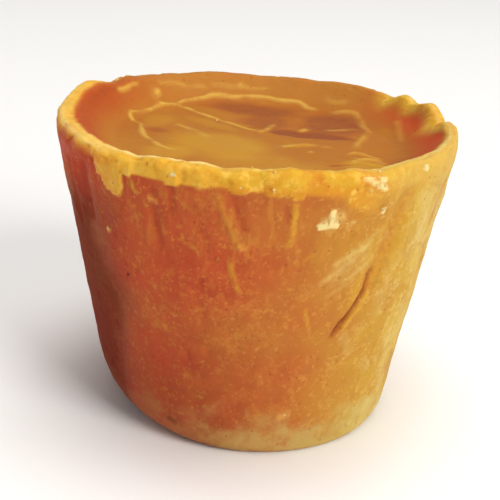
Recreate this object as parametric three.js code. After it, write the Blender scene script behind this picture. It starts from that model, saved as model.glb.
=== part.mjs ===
// A block of jaggery, as it is knocked out of the bucket that it was cast in: an upturned flat-based
// cone with a thick raised rim where the sugar clung to the wall, a sunken top with a wrinkled skin,
// creases and one long fold down its side, and a base corner that has slumped round on the left.
//
// Millimetres, +Z up. The block stands on its flat base at z = 0, and its front is towards -Y.
// Azimuths are in degrees from the front, and grow towards +X.

import * as THREE from "three";
import { mergeVertices } from "three/addons/utils/BufferGeometryUtils.js";

// Driving dimensions
const BASE_RADIUS = 46.2;
const SHOULDER_RADIUS = 61.9; // outer radius at the foot of the rim
const SHOULDER_HEIGHT = 89.4; // foot of the rim
const CREST_HEIGHT = 94.1; // mean top of the rim
const TOP_LEAN = -1.2; // the top's centre lies this far along X from the base's centre
const POOL_DEPTH = 8.0; // from the rim's mean top down to the skin
const POOL_RADIUS = 43.0; // where the skin's flat part ends and its edge starts to climb the rim
const BOWL_SHARPNESS = 1.7; // over 1, the skin's edge starts its climb gently
const LUMP_SHARPNESS = 9; // how fast the rim's lumps die away down the bowl

// The base corner: a tight bend all round, which grows to a wide slump on the left and a small one on
// the right. A higher sharpness keeps a slump to a shorter stretch of the corner.
const CORNER_BEND = 1.2;
const CORNER_SLUMPS = [
  { azimuth: -75, bend: 16, sharpness: 4 },
  { azimuth: 86, bend: 5, sharpness: 12 },
];

// The rim's width, the most on the left and the least on the right
const RIM_WIDTH = 6.6;
const RIM_WIDTH_SWING = 1.5;
const RIM_LEAN = 0.18; // on both sides the crest lies this share of the width outside the rim's middle
const RIM_OVERHANG = 0.5; // how far the rim stands proud of the wall
const RIM_SQUARENESS = 0.66; // under 1, the rim's section is fuller than a half ellipse
const RIM_TURN = 122; // how far round the half ellipse goes, in degrees, before the bowl takes over

// Steps of the mesh, from the base's centre out, up and over to the pool's centre
const SEGMENTS = 120;
const CORNER_STEPS = 4;
const WALL_STEPS = 13;
const RIM_STEPS = 6;
const EDGE_STEPS = 5;
const POOL_STEPS = 5;

// Waves of the casting: [times round, amplitude, phase in degrees]
const OUTLINE_WAVES = [[2, 0.45, 35], [3, 0.3, 160], [5, 0.15, 80]];
const CREST_WAVES = [[2, 0.35, 200], [5, 0.25, 20], [9, 0.22, 75], [14, 0.16, 140]];
const BELLY_HEIGHT_WAVE = 46; // height of one swell up the wall
const BELLY_SWELL = 0.12;

// Where the rim is broken or heaped: azimuth, half width in degrees, rise in mm
const RIM_BREAKS = [
  { azimuth: 124, halfWidth: 6, rise: 1.7 },
  { azimuth: 109, halfWidth: 9, rise: 2.5 },
  { azimuth: 99, halfWidth: 5, rise: -1.2 },
  { azimuth: 88, halfWidth: 6, rise: 1.1 },
  { azimuth: 50, halfWidth: 16, rise: 1.0 },
  { azimuth: 24, halfWidth: 12, rise: 0.95 },
  { azimuth: 10, halfWidth: 13, rise: 1.95 },
  { azimuth: -1, halfWidth: 9, rise: 0.8 },
  { azimuth: -16, halfWidth: 9, rise: 1.45 },
  { azimuth: -25, halfWidth: 9, rise: 1.95 },
  { azimuth: -105, halfWidth: 18, rise: 2.9 },
  { azimuth: -128, halfWidth: 6, rise: 0.9 },
];

// Grooves and ridges of the wall. A path runs by [azimuth, height], depth is inwards, and the lips are
// the low banks on both sides of a groove.
const WALL_MARKS = [
  { name: "long fold", path: [[43, 86], [38, 62], [26, 42]], halfWidth: 4.6, depth: 1.8, lip: 0.5 },
  { name: "left crease", path: [[-25, 88], [-25, 68]], halfWidth: 3.0, depth: 0.9, lip: 0.25 },
  { name: "middle crease", path: [[-7, 89], [-1, 76]], halfWidth: 3.0, depth: 0.8, lip: 0.25 },
  { name: "left drip", path: [[-38, 93], [-38, 84]], halfWidth: 4.6, depth: -1.3, lip: 0 },
  { name: "foot lump", path: [[12, 15], [15, 15]], halfWidth: 4.0, depth: -0.6, lip: 0 },
];

// Relief of the skin: centre [x, y], half lengths along X and Y, and rise
const SKIN_MARKS = [
  { name: "sink hole", centre: [20, 5], half: [15, 5], rise: -1.6 },
  { name: "smooth swell", centre: [-14, -14], half: [20, 16], rise: 0.7 },
  { name: "right ripple", centre: [33, -18], half: [9, 4], rise: 0.6 },
  { name: "back fold", centre: [-4, 34], half: [22, 9], rise: -0.6 },
];

const { cos, sin, PI, abs, hypot, max, min, sign } = Math;
const radians = THREE.MathUtils.degToRad;
const TAPER = (SHOULDER_RADIUS - BASE_RADIUS) / SHOULDER_HEIGHT;
const POOL_HEIGHT = CREST_HEIGHT - POOL_DEPTH;

/** A smooth bump: 1 at zero distance, 0 from reach on. */
function bump(distance, reach) {
  const inside = max(0, 1 - (distance / reach) ** 2);
  return inside * inside;
}

/** The shortest way round between two azimuths, in degrees. */
function turnBetween(from, to) {
  return THREE.MathUtils.euclideanModulo(to - from + 180, 360) - 180;
}

/** The sum of waves that close on themselves round the block. */
function waves(list, azimuth) {
  return list.reduce((sum, [times, amplitude, phase]) => {
    return sum + amplitude * cos(radians(times * azimuth + phase));
  }, 0);
}

/** The distance on the wall from a place to a mark's path, in mm. */
function distanceToPath(azimuth, height, path) {
  const arc = radians(BASE_RADIUS + TAPER * height); // mm along the wall for each degree
  const place = new THREE.Vector2(0, height);
  const corners = path.map(([a, z]) => new THREE.Vector2(turnBetween(azimuth, a) * arc, z));
  let shortest = Infinity;
  for (let i = 1; i < corners.length; i += 1) {
    const along = corners[i].clone().sub(corners[i - 1]);
    const share = place.clone().sub(corners[i - 1]).dot(along) / along.lengthSq();
    const nearest = corners[i - 1].clone().addScaledVector(along, min(1, max(0, share)));
    shortest = min(shortest, nearest.distanceTo(place));
  }
  return shortest;
}

/** How far the marks move the wall outwards at a place. */
function wallRelief(azimuth, height) {
  let relief = BELLY_SWELL * sin((2 * PI * height) / BELLY_HEIGHT_WAVE + radians(2 * azimuth));
  for (const mark of WALL_MARKS) {
    const distance = distanceToPath(azimuth, height, mark.path);
    const bank = bump(distance - 1.6 * mark.halfWidth, mark.halfWidth);
    relief += mark.lip * bank - mark.depth * bump(distance, mark.halfWidth);
  }
  return relief;
}

/** The wall's radius at a place, about the block's own leaning axis. */
function wallRadius(azimuth, height) {
  const free = bump(max(0, 12 - height), 12); // the marks fade out at the foot, so that the base stays flat
  return BASE_RADIUS + TAPER * height + waves(OUTLINE_WAVES, azimuth) + free * wallRelief(azimuth, height);
}

/** How far the rim is heaped up or broken down. */
function rimBreak(azimuth) {
  return RIM_BREAKS.reduce((sum, { azimuth: centre, halfWidth, rise }) => {
    return sum + rise * bump(turnBetween(centre, azimuth), halfWidth);
  }, 0);
}

/** The height of the rim's crest. */
function crestHeight(azimuth) {
  return CREST_HEIGHT + waves(CREST_WAVES, azimuth) + rimBreak(azimuth);
}

/** The rise of the skin above its level at a place in the pool. */
function skinRise(x, y) {
  return SKIN_MARKS.reduce((sum, { centre, half, rise }) => {
    const distance = hypot((x - centre[0]) / half[0], (y - centre[1]) / half[1]);
    return sum + rise * bump(distance, 1);
  }, 0);
}

/** The base corner: a quadratic curve from the flat base to the wall. */
function cornerPoints(azimuth) {
  const bend = CORNER_SLUMPS.reduce((sum, slump) => {
    const facing = 0.5 + 0.5 * cos(radians(azimuth - slump.azimuth));
    return sum + slump.bend * facing ** slump.sharpness;
  }, CORNER_BEND);
  const foot = wallRadius(azimuth, 0);
  const curve = new THREE.QuadraticBezierCurve(
    new THREE.Vector2(foot - bend, 0),
    new THREE.Vector2(foot, 0),
    new THREE.Vector2(wallRadius(azimuth, bend), bend),
  );
  return curve.getPoints(CORNER_STEPS);
}

/** The wall, from the corner's end up to the foot of the rim, without its first point. */
function wallPoints(azimuth, from) {
  return Array.from({ length: WALL_STEPS }, (_, i) => {
    const height = from + ((SHOULDER_HEIGHT - from) * (i + 1)) / WALL_STEPS;
    return new THREE.Vector2(wallRadius(azimuth, height), height);
  });
}

/** The rim's section, from just above the shoulder over the crest to the top of the bowl. */
function rimPoints(azimuth) {
  const outer = wallRadius(azimuth, SHOULDER_HEIGHT) + RIM_OVERHANG;
  const width = RIM_WIDTH - RIM_WIDTH_SWING * sin(radians(azimuth));
  const outside = width * (0.5 - RIM_LEAN * sin(radians(azimuth)) ** 2); // the part outside the crest
  const rise = crestHeight(azimuth) - SHOULDER_HEIGHT;
  const full = (value) => sign(value) * abs(value) ** RIM_SQUARENESS;
  return Array.from({ length: RIM_STEPS }, (_, i) => {
    const angle = (radians(RIM_TURN) * (i + 0.6)) / (RIM_STEPS - 0.4);
    const reach = angle < PI / 2 ? outside : width - outside;
    const radius = outer - outside + reach * full(cos(angle));
    return new THREE.Vector2(radius, SHOULDER_HEIGHT + rise * full(sin(angle)));
  });
}

/** The bowl: the skin's edge, which climbs from the pool to the rim, from the rim inwards. */
function edgePoints(azimuth, rimEnd) {
  const lump = rimBreak(azimuth);
  const climb = rimEnd.y - lump - POOL_HEIGHT;
  return Array.from({ length: EDGE_STEPS }, (_, i) => {
    const left = 1 - (i + 1) / EDGE_STEPS;
    const radius = POOL_RADIUS + (rimEnd.x - POOL_RADIUS) * left;
    const height = POOL_HEIGHT + climb * left ** BOWL_SHARPNESS + lump * left ** LUMP_SHARPNESS;
    return new THREE.Vector2(radius, height);
  });
}

/** The skin, from inside its edge to the middle. */
function poolPoints(azimuth) {
  return Array.from({ length: POOL_STEPS }, (_, i) => {
    const radius = POOL_RADIUS * (1 - (i + 1) / POOL_STEPS);
    const rise = skinRise(radius * sin(radians(azimuth)), -radius * cos(radians(azimuth)));
    return new THREE.Vector2(radius, POOL_HEIGHT + rise);
  });
}

/** One section of the block, from the base's centre round to the pool's centre. */
function section(azimuth) {
  const corner = cornerPoints(azimuth);
  const wall = wallPoints(azimuth, corner.at(-1).y);
  const rim = rimPoints(azimuth);
  const edge = edgePoints(azimuth, rim.at(-1));
  return [new THREE.Vector2(0, 0), ...corner, ...wall, ...rim, ...edge, ...poolPoints(azimuth)];
}

/** A geometry's triangles over shared vertices, without the ones that closed up at the poles. */
function weld(geometry) {
  geometry.deleteAttribute("normal");
  geometry.deleteAttribute("uv");
  const welded = mergeVertices(geometry, 1e-3);
  const source = welded.getIndex().array;
  const kept = [];
  for (let i = 0; i < source.length; i += 3) {
    const [a, b, c] = source.slice(i, i + 3);
    if (a !== b && b !== c && c !== a) kept.push(a, b, c);
  }
  welded.setIndex(kept);
  return welded;
}

/** The whole block: a lathed body whose sections each get their own outline. */
function blockGeometry() {
  const lathed = new THREE.LatheGeometry(section(0), SEGMENTS);
  const position = lathed.getAttribute("position");
  const stations = position.count / (SEGMENTS + 1);
  for (let i = 0; i <= SEGMENTS; i += 1) {
    const azimuth = (360 * (i % SEGMENTS)) / SEGMENTS;
    section(azimuth).forEach(({ x: radius, y: height }, j) => {
      const lean = (TOP_LEAN * height) / SHOULDER_HEIGHT;
      const x = lean + radius * sin(radians(azimuth));
      position.setXYZ(i * stations + j, x, -radius * cos(radians(azimuth)), height);
    });
  }
  const block = weld(lathed);
  block.computeBoundingBox();
  const centre = block.boundingBox.getCenter(new THREE.Vector3());
  block.translate(-centre.x, -centre.y, 0);
  block.computeVertexNormals();
  return block;
}

const jaggery = new THREE.MeshStandardMaterial({ color: 0xc9772f, roughness: 0.5, metalness: 0 });
const block = new THREE.Mesh(blockGeometry(), jaggery);
block.name = "block";

const part = new THREE.Group();
part.add(block);

export default part;
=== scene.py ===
"""A block of jaggery cast in a bucket: tapered wall, raised rim, wrinkled skin, folds and stuck crumbs."""
import logging
import math
from collections.abc import Iterable, Sequence
from dataclasses import dataclass, field
from enum import Enum

import bpy
import numpy as np
from mathutils import Matrix, Vector, noise


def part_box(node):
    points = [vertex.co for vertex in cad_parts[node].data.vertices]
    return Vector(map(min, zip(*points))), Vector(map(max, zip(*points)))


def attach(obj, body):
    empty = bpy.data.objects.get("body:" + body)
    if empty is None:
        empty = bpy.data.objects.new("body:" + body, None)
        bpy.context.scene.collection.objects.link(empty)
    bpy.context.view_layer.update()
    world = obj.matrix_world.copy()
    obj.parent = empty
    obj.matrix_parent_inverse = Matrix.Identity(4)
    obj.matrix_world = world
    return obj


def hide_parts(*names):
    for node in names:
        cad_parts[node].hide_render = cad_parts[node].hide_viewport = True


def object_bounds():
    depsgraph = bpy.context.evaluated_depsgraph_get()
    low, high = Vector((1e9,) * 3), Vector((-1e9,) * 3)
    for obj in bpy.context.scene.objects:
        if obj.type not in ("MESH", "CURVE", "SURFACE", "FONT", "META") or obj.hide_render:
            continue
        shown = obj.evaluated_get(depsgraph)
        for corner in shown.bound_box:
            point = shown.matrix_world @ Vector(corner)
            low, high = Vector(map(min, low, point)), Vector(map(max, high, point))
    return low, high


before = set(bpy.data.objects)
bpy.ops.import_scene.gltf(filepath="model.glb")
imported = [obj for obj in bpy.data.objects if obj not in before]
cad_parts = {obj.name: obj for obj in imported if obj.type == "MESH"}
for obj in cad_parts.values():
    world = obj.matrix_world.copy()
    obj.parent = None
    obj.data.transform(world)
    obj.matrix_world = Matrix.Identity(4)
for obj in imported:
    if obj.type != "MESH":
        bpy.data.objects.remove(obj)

LOG = logging.getLogger("jaggery")
MM = 0.001
CAD_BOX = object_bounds()
BODY = "root"
NODE = "block"

Array = np.ndarray
Colour = tuple[float, float, float]
Place = tuple[float, float]
Waves = tuple[tuple[int, float, float], ...]
Material = bpy.types.Material
Mesh = bpy.types.Mesh
Node = bpy.types.Node
Socket = bpy.types.NodeSocket
Tree = bpy.types.NodeTree


# ---- Small mathematics -------------------------------------------------------------------------------


def smooth(low: float | Array, high: float | Array, value: Array) -> Array:
    """Rises smoothly from 0 at low to 1 at high.

    Args:
        low: Where the rise starts.
        high: Where the rise ends; below low, the rise runs the other way.
        value: The places to read.

    Returns:
        The share at each place.
    """
    share = np.clip((value - low) / (high - low), 0.0, 1.0)
    return share * share * (3.0 - 2.0 * share)


def bump(distance: Array, reach: float | Array) -> Array:
    """A smooth hill: 1 at zero distance, 0 from reach on.

    Args:
        distance: Distance from the hill's middle.
        reach: Where the hill ends.

    Returns:
        The hill's share of its height at each place.
    """
    inside = np.clip(1.0 - (distance / reach) ** 2, 0.0, 1.0)
    return inside * inside


def turn_between(start: float | Array, end: float | Array) -> Array:
    """The shortest way round from start to end, in degrees.

    Args:
        start: The first azimuth.
        end: The second azimuth.

    Returns:
        The turn, between -180 and 180.
    """
    return np.mod(end - start + 180.0, 360.0) - 180.0


def waves(terms: Waves, azimuth: Array) -> Array:
    """A sum of waves that close on themselves round the block.

    Args:
        terms: Times round, amplitude and phase in degrees of each wave.
        azimuth: Azimuths in degrees.

    Returns:
        The sum at each azimuth.
    """
    total = np.zeros_like(azimuth)
    for times, amplitude, phase in terms:
        total = total + amplitude * np.cos(np.radians(times * azimuth + phase))
    return total


def grain(points: Array, size: float, octaves: int, shift: float) -> Array:
    """Fractal noise at places in space.

    Args:
        points: Places in millimetres, with the three coordinates on the last axis.
        size: The size of the largest lumps in millimetres.
        octaves: How many finer layers are added.
        shift: Moves the pattern, so that two fields differ.

    Returns:
        Values of about -1 to 1, in the shape of the places.
    """
    flat = points.reshape(-1, 3) / size + shift
    values = [noise.fractal(place, 1.0, 2.0, octaves) for place in flat.tolist()]
    return np.array(values).reshape(points.shape[:-1])


def rounded_path(corners: Sequence[Place], steps: int = 6) -> list[Place]:
    """A smooth curve through a few places.

    Args:
        corners: The places that the curve passes.
        steps: Pieces between two places.

    Returns:
        The curve's points.
    """
    if len(corners) < 3:
        return list(corners)
    points = np.array([corners[0], *corners, corners[-1]], float)
    curve: list[Place] = []
    for before, start, end, after in zip(points, points[1:], points[2:], points[3:]):
        for step in range(steps):
            t = step / steps
            pull = (2 * before - 5 * start + 4 * end - after) * t * t
            bend = (3 * start - before - 3 * end + after) * t**3
            spot = 0.5 * (2 * start + (end - before) * t + pull + bend)
            curve.append((float(spot[0]), float(spot[1])))
    curve.append((float(points[-1][0]), float(points[-1][1])))
    return curve


def path_distance(across: Array, up: Array, path: Sequence[tuple[Array | float, float]]) \
        -> tuple[Array, Array]:
    """Distance to a path, and how far along it the nearest place lies.

    Args:
        across: First coordinate of each place, in millimetres.
        up: Second coordinate of each place, in millimetres.
        path: The path's points; a first coordinate may be an array where it depends on the place.

    Returns:
        The distance in millimetres, and the share of the path from 0 to 1.
    """
    shortest = np.full(up.shape, np.inf)
    along = np.zeros(up.shape)
    pieces = len(path) - 1
    for index in range(pieces):
        (x0, y0), (x1, y1) = path[index], path[index + 1]
        dx, dy = x1 - x0, y1 - y0
        share = ((across - x0) * dx + (up - y0) * dy) / np.maximum(dx * dx + dy * dy, 1e-9)
        share = np.clip(share, 0.0, 1.0)
        distance = np.hypot(across - x0 - share * dx, up - y0 - share * dy)
        nearer = distance < shortest
        shortest = np.where(nearer, distance, shortest)
        along = np.where(nearer, (index + share) / pieces, along)
    return shortest, along


def profile(azimuth: Array, places: Sequence[Place]) -> Array:
    """A value round the block, straight between given azimuths and values."""
    return np.interp(azimuth, *zip(*places))


def grid_normals(places: Array) -> Array:
    """The outward normals of a grid of rings by meridians.

    Args:
        places: The grid's places, with the three coordinates on the last axis.

    Returns:
        A unit vector for each place.
    """
    around = np.roll(places, -1, axis=1) - np.roll(places, 1, axis=1)
    normals = np.cross(around, np.gradient(places, axis=0))
    return normals / np.maximum(np.linalg.norm(normals, axis=-1, keepdims=True), 1e-12)


# ---- Marks on the block ------------------------------------------------------------------------------


class Tint(Enum):
    """What a mark does to the colour under it."""

    # Painted shade darkening a crack.
    CREASE = "crease"
    # Painted shade in grooves, reddish brown.
    GROOVE_SHADE = "rust"
    YELLOW = "yellow"
    PALE = "pale"
    CHALK = "chalk"
    SPECK = "speck"


@dataclass(frozen=True)
class WallMark:
    """A groove, ridge or streak on the wall; its path is in degrees round and millimetres up."""

    name: str
    path: tuple[Place, ...]
    half_width: float
    rise: float
    tint: Tint | None = None
    strength: float = 1.0
    lip: float = 0.0
    fade: float = 0.15


@dataclass(frozen=True)
class SkinMark:
    """A swell or a hollow of the skin: an ellipse in plan, in millimetres."""

    name: str
    centre: Place
    half: Place
    rise: float
    turn: float = 0.0
    tan: float = 0.0


@dataclass(frozen=True)
class SkinLine:
    """A thin raised wrinkle of the skin, along a path in plan, in millimetres."""

    name: str
    path: tuple[Place, ...]
    height: float = 0.4
    half_width: float = 0.85
    strength: float = 1.1


@dataclass(frozen=True)
class RimBreak:
    """A stretch of the rim that is heaped up or broken down, in degrees and millimetres."""

    azimuth: float
    half_width: float
    rise: float


@dataclass(frozen=True)
class Stretch:
    """A stretch of azimuths, in degrees, that fades in from start to full and out from last to end."""

    start: float
    full: float
    last: float
    end: float

    def share(self, azimuth: Array) -> Array:
        """How far each azimuth belongs to the stretch, from 0 to 1."""
        return smooth(self.start, self.full, azimuth) * smooth(self.end, self.last, azimuth)


WALL_MARKS = (
    WallMark("long fold, soft part", ((48, 95), (46, 90), (43.5, 79), (40.5, 66), (37, 57)), 6.0, -1.2,
             lip=0.25, fade=0.12),
    WallMark("long fold, warm floor", ((48, 95), (46, 90), (43.5, 79), (40.5, 66), (36, 57)), 4.4, 0.0,
             Tint.GROOVE_SHADE, 0.5, fade=0.1),
    WallMark("long fold, amber floor", ((47, 88), (44.6, 78), (42, 68), (38, 58)), 4.6, 0.0, Tint.YELLOW,
             0.5, fade=0.1),
    WallMark("long fold, upper line", ((38.4, 64), (40.4, 72), (42.4, 80), (44.4, 87)), 1.8, -0.2,
             Tint.GROOVE_SHADE, 0.3, fade=0.3),
    WallMark("long fold, left bank", ((40.5, 88), (39.2, 77), (37, 68), (33.5, 59), (30.5, 53)), 2.1, 0.1,
             Tint.YELLOW, 0.42),
    WallMark("long fold, line", ((38.6, 65), (36.1, 58.4), (33.3, 52.9), (29.9, 47.4), (26.2, 42.2)), 0.7,
             -0.95, Tint.CREASE, 0.75, lip=0.3, fade=0.2),
    WallMark("long fold, shadowed side", ((37.4, 61), (33.8, 53.8), (29.4, 47), (26, 42)), 1.5, -0.2,
             Tint.GROOVE_SHADE, 0.6),
    # Painted highlight along the lit side of the long fold's crack.
    WallMark("long fold, lit side", ((40.2, 62), (36.8, 54.2), (33.0, 48.4), (29.6, 44)), 1.3, 0.5,
             Tint.YELLOW, 0.7),
    WallMark("long fold, cream bank", ((48, 67), (45, 59), (41, 51)), 2.6, 0.1, Tint.PALE, 0.42, fade=0.3),
    WallMark("long fold, far bank", ((50.5, 89), (49, 78), (45.5, 66), (41, 57)), 2.4, 0.4, Tint.PALE,
             0.15),
    WallMark("left crease", ((-25.4, 88), (-25.6, 79), (-24.6, 68)), 2.1, -0.42, Tint.GROOVE_SHADE, 0.8, lip=0.12),
    WallMark("left crease, line", ((-25.4, 84), (-25.4, 77), (-24.8, 71)), 1.2, -0.05, Tint.GROOVE_SHADE, 0.9),
    WallMark("left crease bead", ((-27.2, 83.8), (-24.4, 83.0)), 2.0, 0.5, Tint.PALE, 0.7, fade=0.01),
    WallMark("left crease, branch", ((-20.6, 89), (-21.2, 84)), 1.6, -0.3, Tint.GROOVE_SHADE, 0.45),
    WallMark("middle crease", ((-5.0, 89.3), (-3.4, 84), (-1.2, 77.5)), 1.9, -0.3, Tint.GROOVE_SHADE, 0.6,
             lip=0.12),
    WallMark("middle crease, line", ((-4.6, 88), (-3.4, 84), (-1.8, 80)), 1.0, -0.05, Tint.GROOVE_SHADE, 0.7),
    WallMark("middle streak, upper", ((-8.0, 88), (-6.4, 82), (-5, 77), (-2.6, 72)), 1.3, 0.3, Tint.YELLOW,
             0.4),
    WallMark("middle streak, bead", ((-3.4, 73.4), (-2.1, 71.6)), 2.0, 0.6, Tint.PALE, 0.75, fade=0.01),
    WallMark("middle streak, lower", ((-5.6, 69.6), (-4.8, 65), (-2.8, 58)), 1.3, 0.3, Tint.YELLOW, 0.48),
    WallMark("faint groove", ((-14, 83), (-12.6, 77), (-11.6, 71)), 2.0, -0.2, Tint.GROOVE_SHADE, 0.45),
    WallMark("faint scratch", ((-19.5, 73.5), (-17, 72), (-13.4, 69.6)), 0.8, 0.1, Tint.YELLOW, 0.35),
    WallMark("small drip", ((-32.2, 88), (-30.6, 83.6)), 1.3, 0.3, Tint.YELLOW, 0.6, fade=0.1),
    WallMark("right streak", ((10.6, 88), (10.4, 81), (9.6, 73)), 1.5, 0.25, Tint.YELLOW, 0.75, fade=0.25),
    WallMark("right streak, groove", ((8.2, 87), (9, 80)), 1.4, -0.35, Tint.GROOVE_SHADE, 0.5),
    WallMark("far left fold", ((-53, 88), (-51.5, 80), (-50.5, 70)), 2.8, -0.8, Tint.GROOVE_SHADE, 0.7, lip=0.25),
    WallMark("far left ridge", ((-58, 86), (-56, 76)), 2.2, 0.5),
    WallMark("far left groove", ((-62, 87), (-60.5, 78), (-60, 66)), 2.4, -0.7, Tint.GROOVE_SHADE, 0.6, lip=0.2),
    WallMark("scuff, field", ((22, 61), (28, 66), (35, 72)), 5.6, 0.1, Tint.PALE, 0.42, fade=0.35),
    WallMark("scuff, first", ((20, 61), (25, 65), (31, 69.5)), 2.2, 0.1, Tint.PALE, 0.75, fade=0.3),
    WallMark("scuff, second", ((22.5, 66), (28, 69.5), (35.5, 73.5)), 2.0, 0.08, Tint.PALE, 0.8, fade=0.3),
    WallMark("scuff, third", ((26, 60.5), (31.5, 64), (37.6, 68.4)), 1.8, 0.1, Tint.PALE, 0.65, fade=0.3),
    WallMark("scuff, gap", ((24, 64.2), (29.5, 67.6), (35, 71)), 1.0, -0.15, Tint.GROOVE_SHADE, 0.4, fade=0.3),
    WallMark("scuff, upper", ((30, 72.4), (34.5, 74.8), (38, 77.4)), 1.2, 0.08, Tint.PALE, 0.55, fade=0.3),
    WallMark("scuff, lower", ((21.5, 56), (27, 59), (32, 61.5)), 1.1, 0.08, Tint.PALE, 0.45, fade=0.3),
    WallMark("scratch, left of the scuffs", ((11, 67.5), (15, 69.5), (18, 71.5)), 0.8, 0.08, Tint.YELLOW,
             0.4, fade=0.3),
    WallMark("short streak", ((16.6, 54), (17.6, 50), (18.4, 46.5)), 1.0, 0.2, Tint.YELLOW, 0.5, fade=0.3),
    WallMark("right bloom", ((44, 58), (44.5, 52), (43.5, 45)), 5.0, 0.1, Tint.PALE, 0.42, fade=0.35),
    WallMark("right bloom, upper", ((52, 86), (54, 79), (54, 71)), 3.6, 0.1, Tint.PALE, 0.3, fade=0.35),
    WallMark("fold end patch", ((30, 43), (33.5, 39), (36.5, 33.5)), 2.8, 0.12, Tint.PALE, 0.45, fade=0.35),
    WallMark("fold end patch, far", ((36, 46), (38, 40)), 2.6, 0.1, Tint.PALE, 0.35, fade=0.35),
    WallMark("foot lump", ((11.6, 14.4), (13.6, 15.4), (16.4, 14.6)), 2.3, 0.6, Tint.PALE, 0.55, fade=0.2),
    WallMark("left tick", ((-44.0, 69.2), (-42.4, 70.2)), 1.1, 0.45, Tint.PALE, 0.8, fade=0.05),
    WallMark("foot dent", ((-29, 9.2), (-24, 8.0)), 1.3, -0.4, Tint.SPECK, 0.5, fade=0.2),
    WallMark("dark speck", ((-38.2, 56.9), (-37.4, 56.5)), 1.0, -0.3, Tint.SPECK, 0.9, fade=0.01),
    WallMark("white scab", ((17.0, 79.4), (20.0, 80.2), (23.0, 79.7)), 1.8, 0.35, Tint.CHALK, 0.9,
             fade=0.1),
    WallMark("white scab, top", ((20.4, 81.0), (20.9, 84.2)), 1.5, 0.35, Tint.CHALK, 0.85, fade=0.1),
    WallMark("white scab, body", ((18.4, 80.6), (20.6, 81.6), (22.4, 81.6)), 2.0, 0.3, Tint.CHALK, 0.42,
             fade=0.1),
    WallMark("white scab, halo", ((18.0, 79.8), (21.5, 82), (25, 83)), 2.8, 0.1, Tint.PALE, 0.8, fade=0.2),
    WallMark("white scab, tail", ((24.8, 79.0), (28.2, 80.4)), 1.1, 0.15, Tint.PALE, 0.9, fade=0.2),
    WallMark("rim scrape", ((27.5, 94.2), (31.5, 92.2), (36.5, 88.8)), 1.8, 0.25, Tint.CHALK, 0.8,
             fade=0.3),
    WallMark("rim scrape, beside", ((33.5, 92.6), (36, 91.4)), 1.1, 0.2, Tint.CHALK, 0.7, fade=0.25),
    WallMark("right dab", ((36.2, 84.2), (35.8, 82.2)), 1.1, 0.3, Tint.CHALK, 0.9, fade=0.1),
    WallMark("far right dab", ((50.4, 93.6), (50.0, 91.6)), 1.4, 0.3, Tint.CHALK, 0.9, fade=0.1),
)

RIM_DRIPS = (  # azimuth, half width in degrees, drop in millimetres
    (-41.0, 5.2, 7.6), (-33.6, 1.6, 1.0), (-20.5, 3.0, 0.8), (-12.5, 2.4, 0.6), (-3.4, 3.0, 1.0),
    (4.8, 2.2, 0.7), (10.8, 1.8, 1.6), (28, 5.0, 3.6), (-72, 5.0, 2.2), (-101, 4.0, 1.4), (-126, 6.5, 4.0),
    (-149, 3.0, 1.2), (-171, 5.0, 4.6), (168, 2.6, 1.2), (146, 5.5, 2.2), (118, 3.2, 1.4), (92, 5.0, 2.4),
)

RIM_BREAKS = (
    RimBreak(124, 6, 1.7), RimBreak(109, 9, 2.5), RimBreak(99, 5, -1.2), RimBreak(88, 6, 1.1),
    RimBreak(50, 16, 1.0), RimBreak(24, 12, 0.95), RimBreak(10, 13, 1.95), RimBreak(-1, 9, 0.8),
    RimBreak(-16, 9, 1.45), RimBreak(-25, 9, 1.95), RimBreak(-105, 18, 2.9), RimBreak(-128, 6, 0.9),
)

# The tan values paint light and shade as well as tone: the smooth swell and the front sheens paint a
# reflected sheen, and the sink hole paints shade in its hollow.
SKIN_MARKS = (
    SkinMark("sink hole", (15, 10), (17, 6.6), -0.6, turn=-8, tan=-0.9),
    SkinMark("sink hole, core", (13, 9), (12, 3.6), -0.2, turn=-8, tan=-1.1),
    SkinMark("sink hole, right end", (26, 8), (8, 4.4), -0.2, tan=-0.5),
    SkinMark("smooth swell", (-12, -8), (25, 19), 0.5, turn=-38, tan=0.62),
    SkinMark("front sheen", (0, -26), (30, 13), 0.2, tan=0.35),
    SkinMark("diagonal's bank", (-16, 16), (17, 5), 0.2, turn=-40, tan=0.3),
    SkinMark("back slack", (-3, 38), (25, 12), -0.5, turn=-10, tan=-0.7),
    SkinMark("back slack, middle", (2, 22), (13, 13), -0.2, turn=-30, tan=-0.5),
    SkinMark("right slack", (24, 24), (17, 19), -0.2, tan=-0.75),
    SkinMark("front sheen, left", (-28, -19), (13, 9), 0.1, tan=0.55),
    SkinMark("front sheen, right", (31, -21), (10, 8), 0.1, tan=0.6),
    SkinMark("reddish patch", (-31, 5), (7, 4.2), 0.0, turn=-20, tan=-0.4),
    SkinMark("left tan", (-34, 16), (8, 12), 0.15, tan=0.3),
    SkinMark("ripple, first", (30, -9), (6, 1.8), 0.4, turn=-14, tan=0.4),
    SkinMark("ripple, second", (32, -14.5), (7, 1.8), 0.4, turn=-10, tan=0.6),
    SkinMark("ripple, third", (34, -20), (7, 1.8), 0.4, turn=-25, tan=0.5),
    SkinMark("ripple, dark", (24, -21.5), (6, 1.5), -0.3, turn=10, tan=-0.7),
    SkinMark("light below the hole", (12, -3.5), (7, 3.0), 0.35, turn=5, tan=0.5),
)

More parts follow.
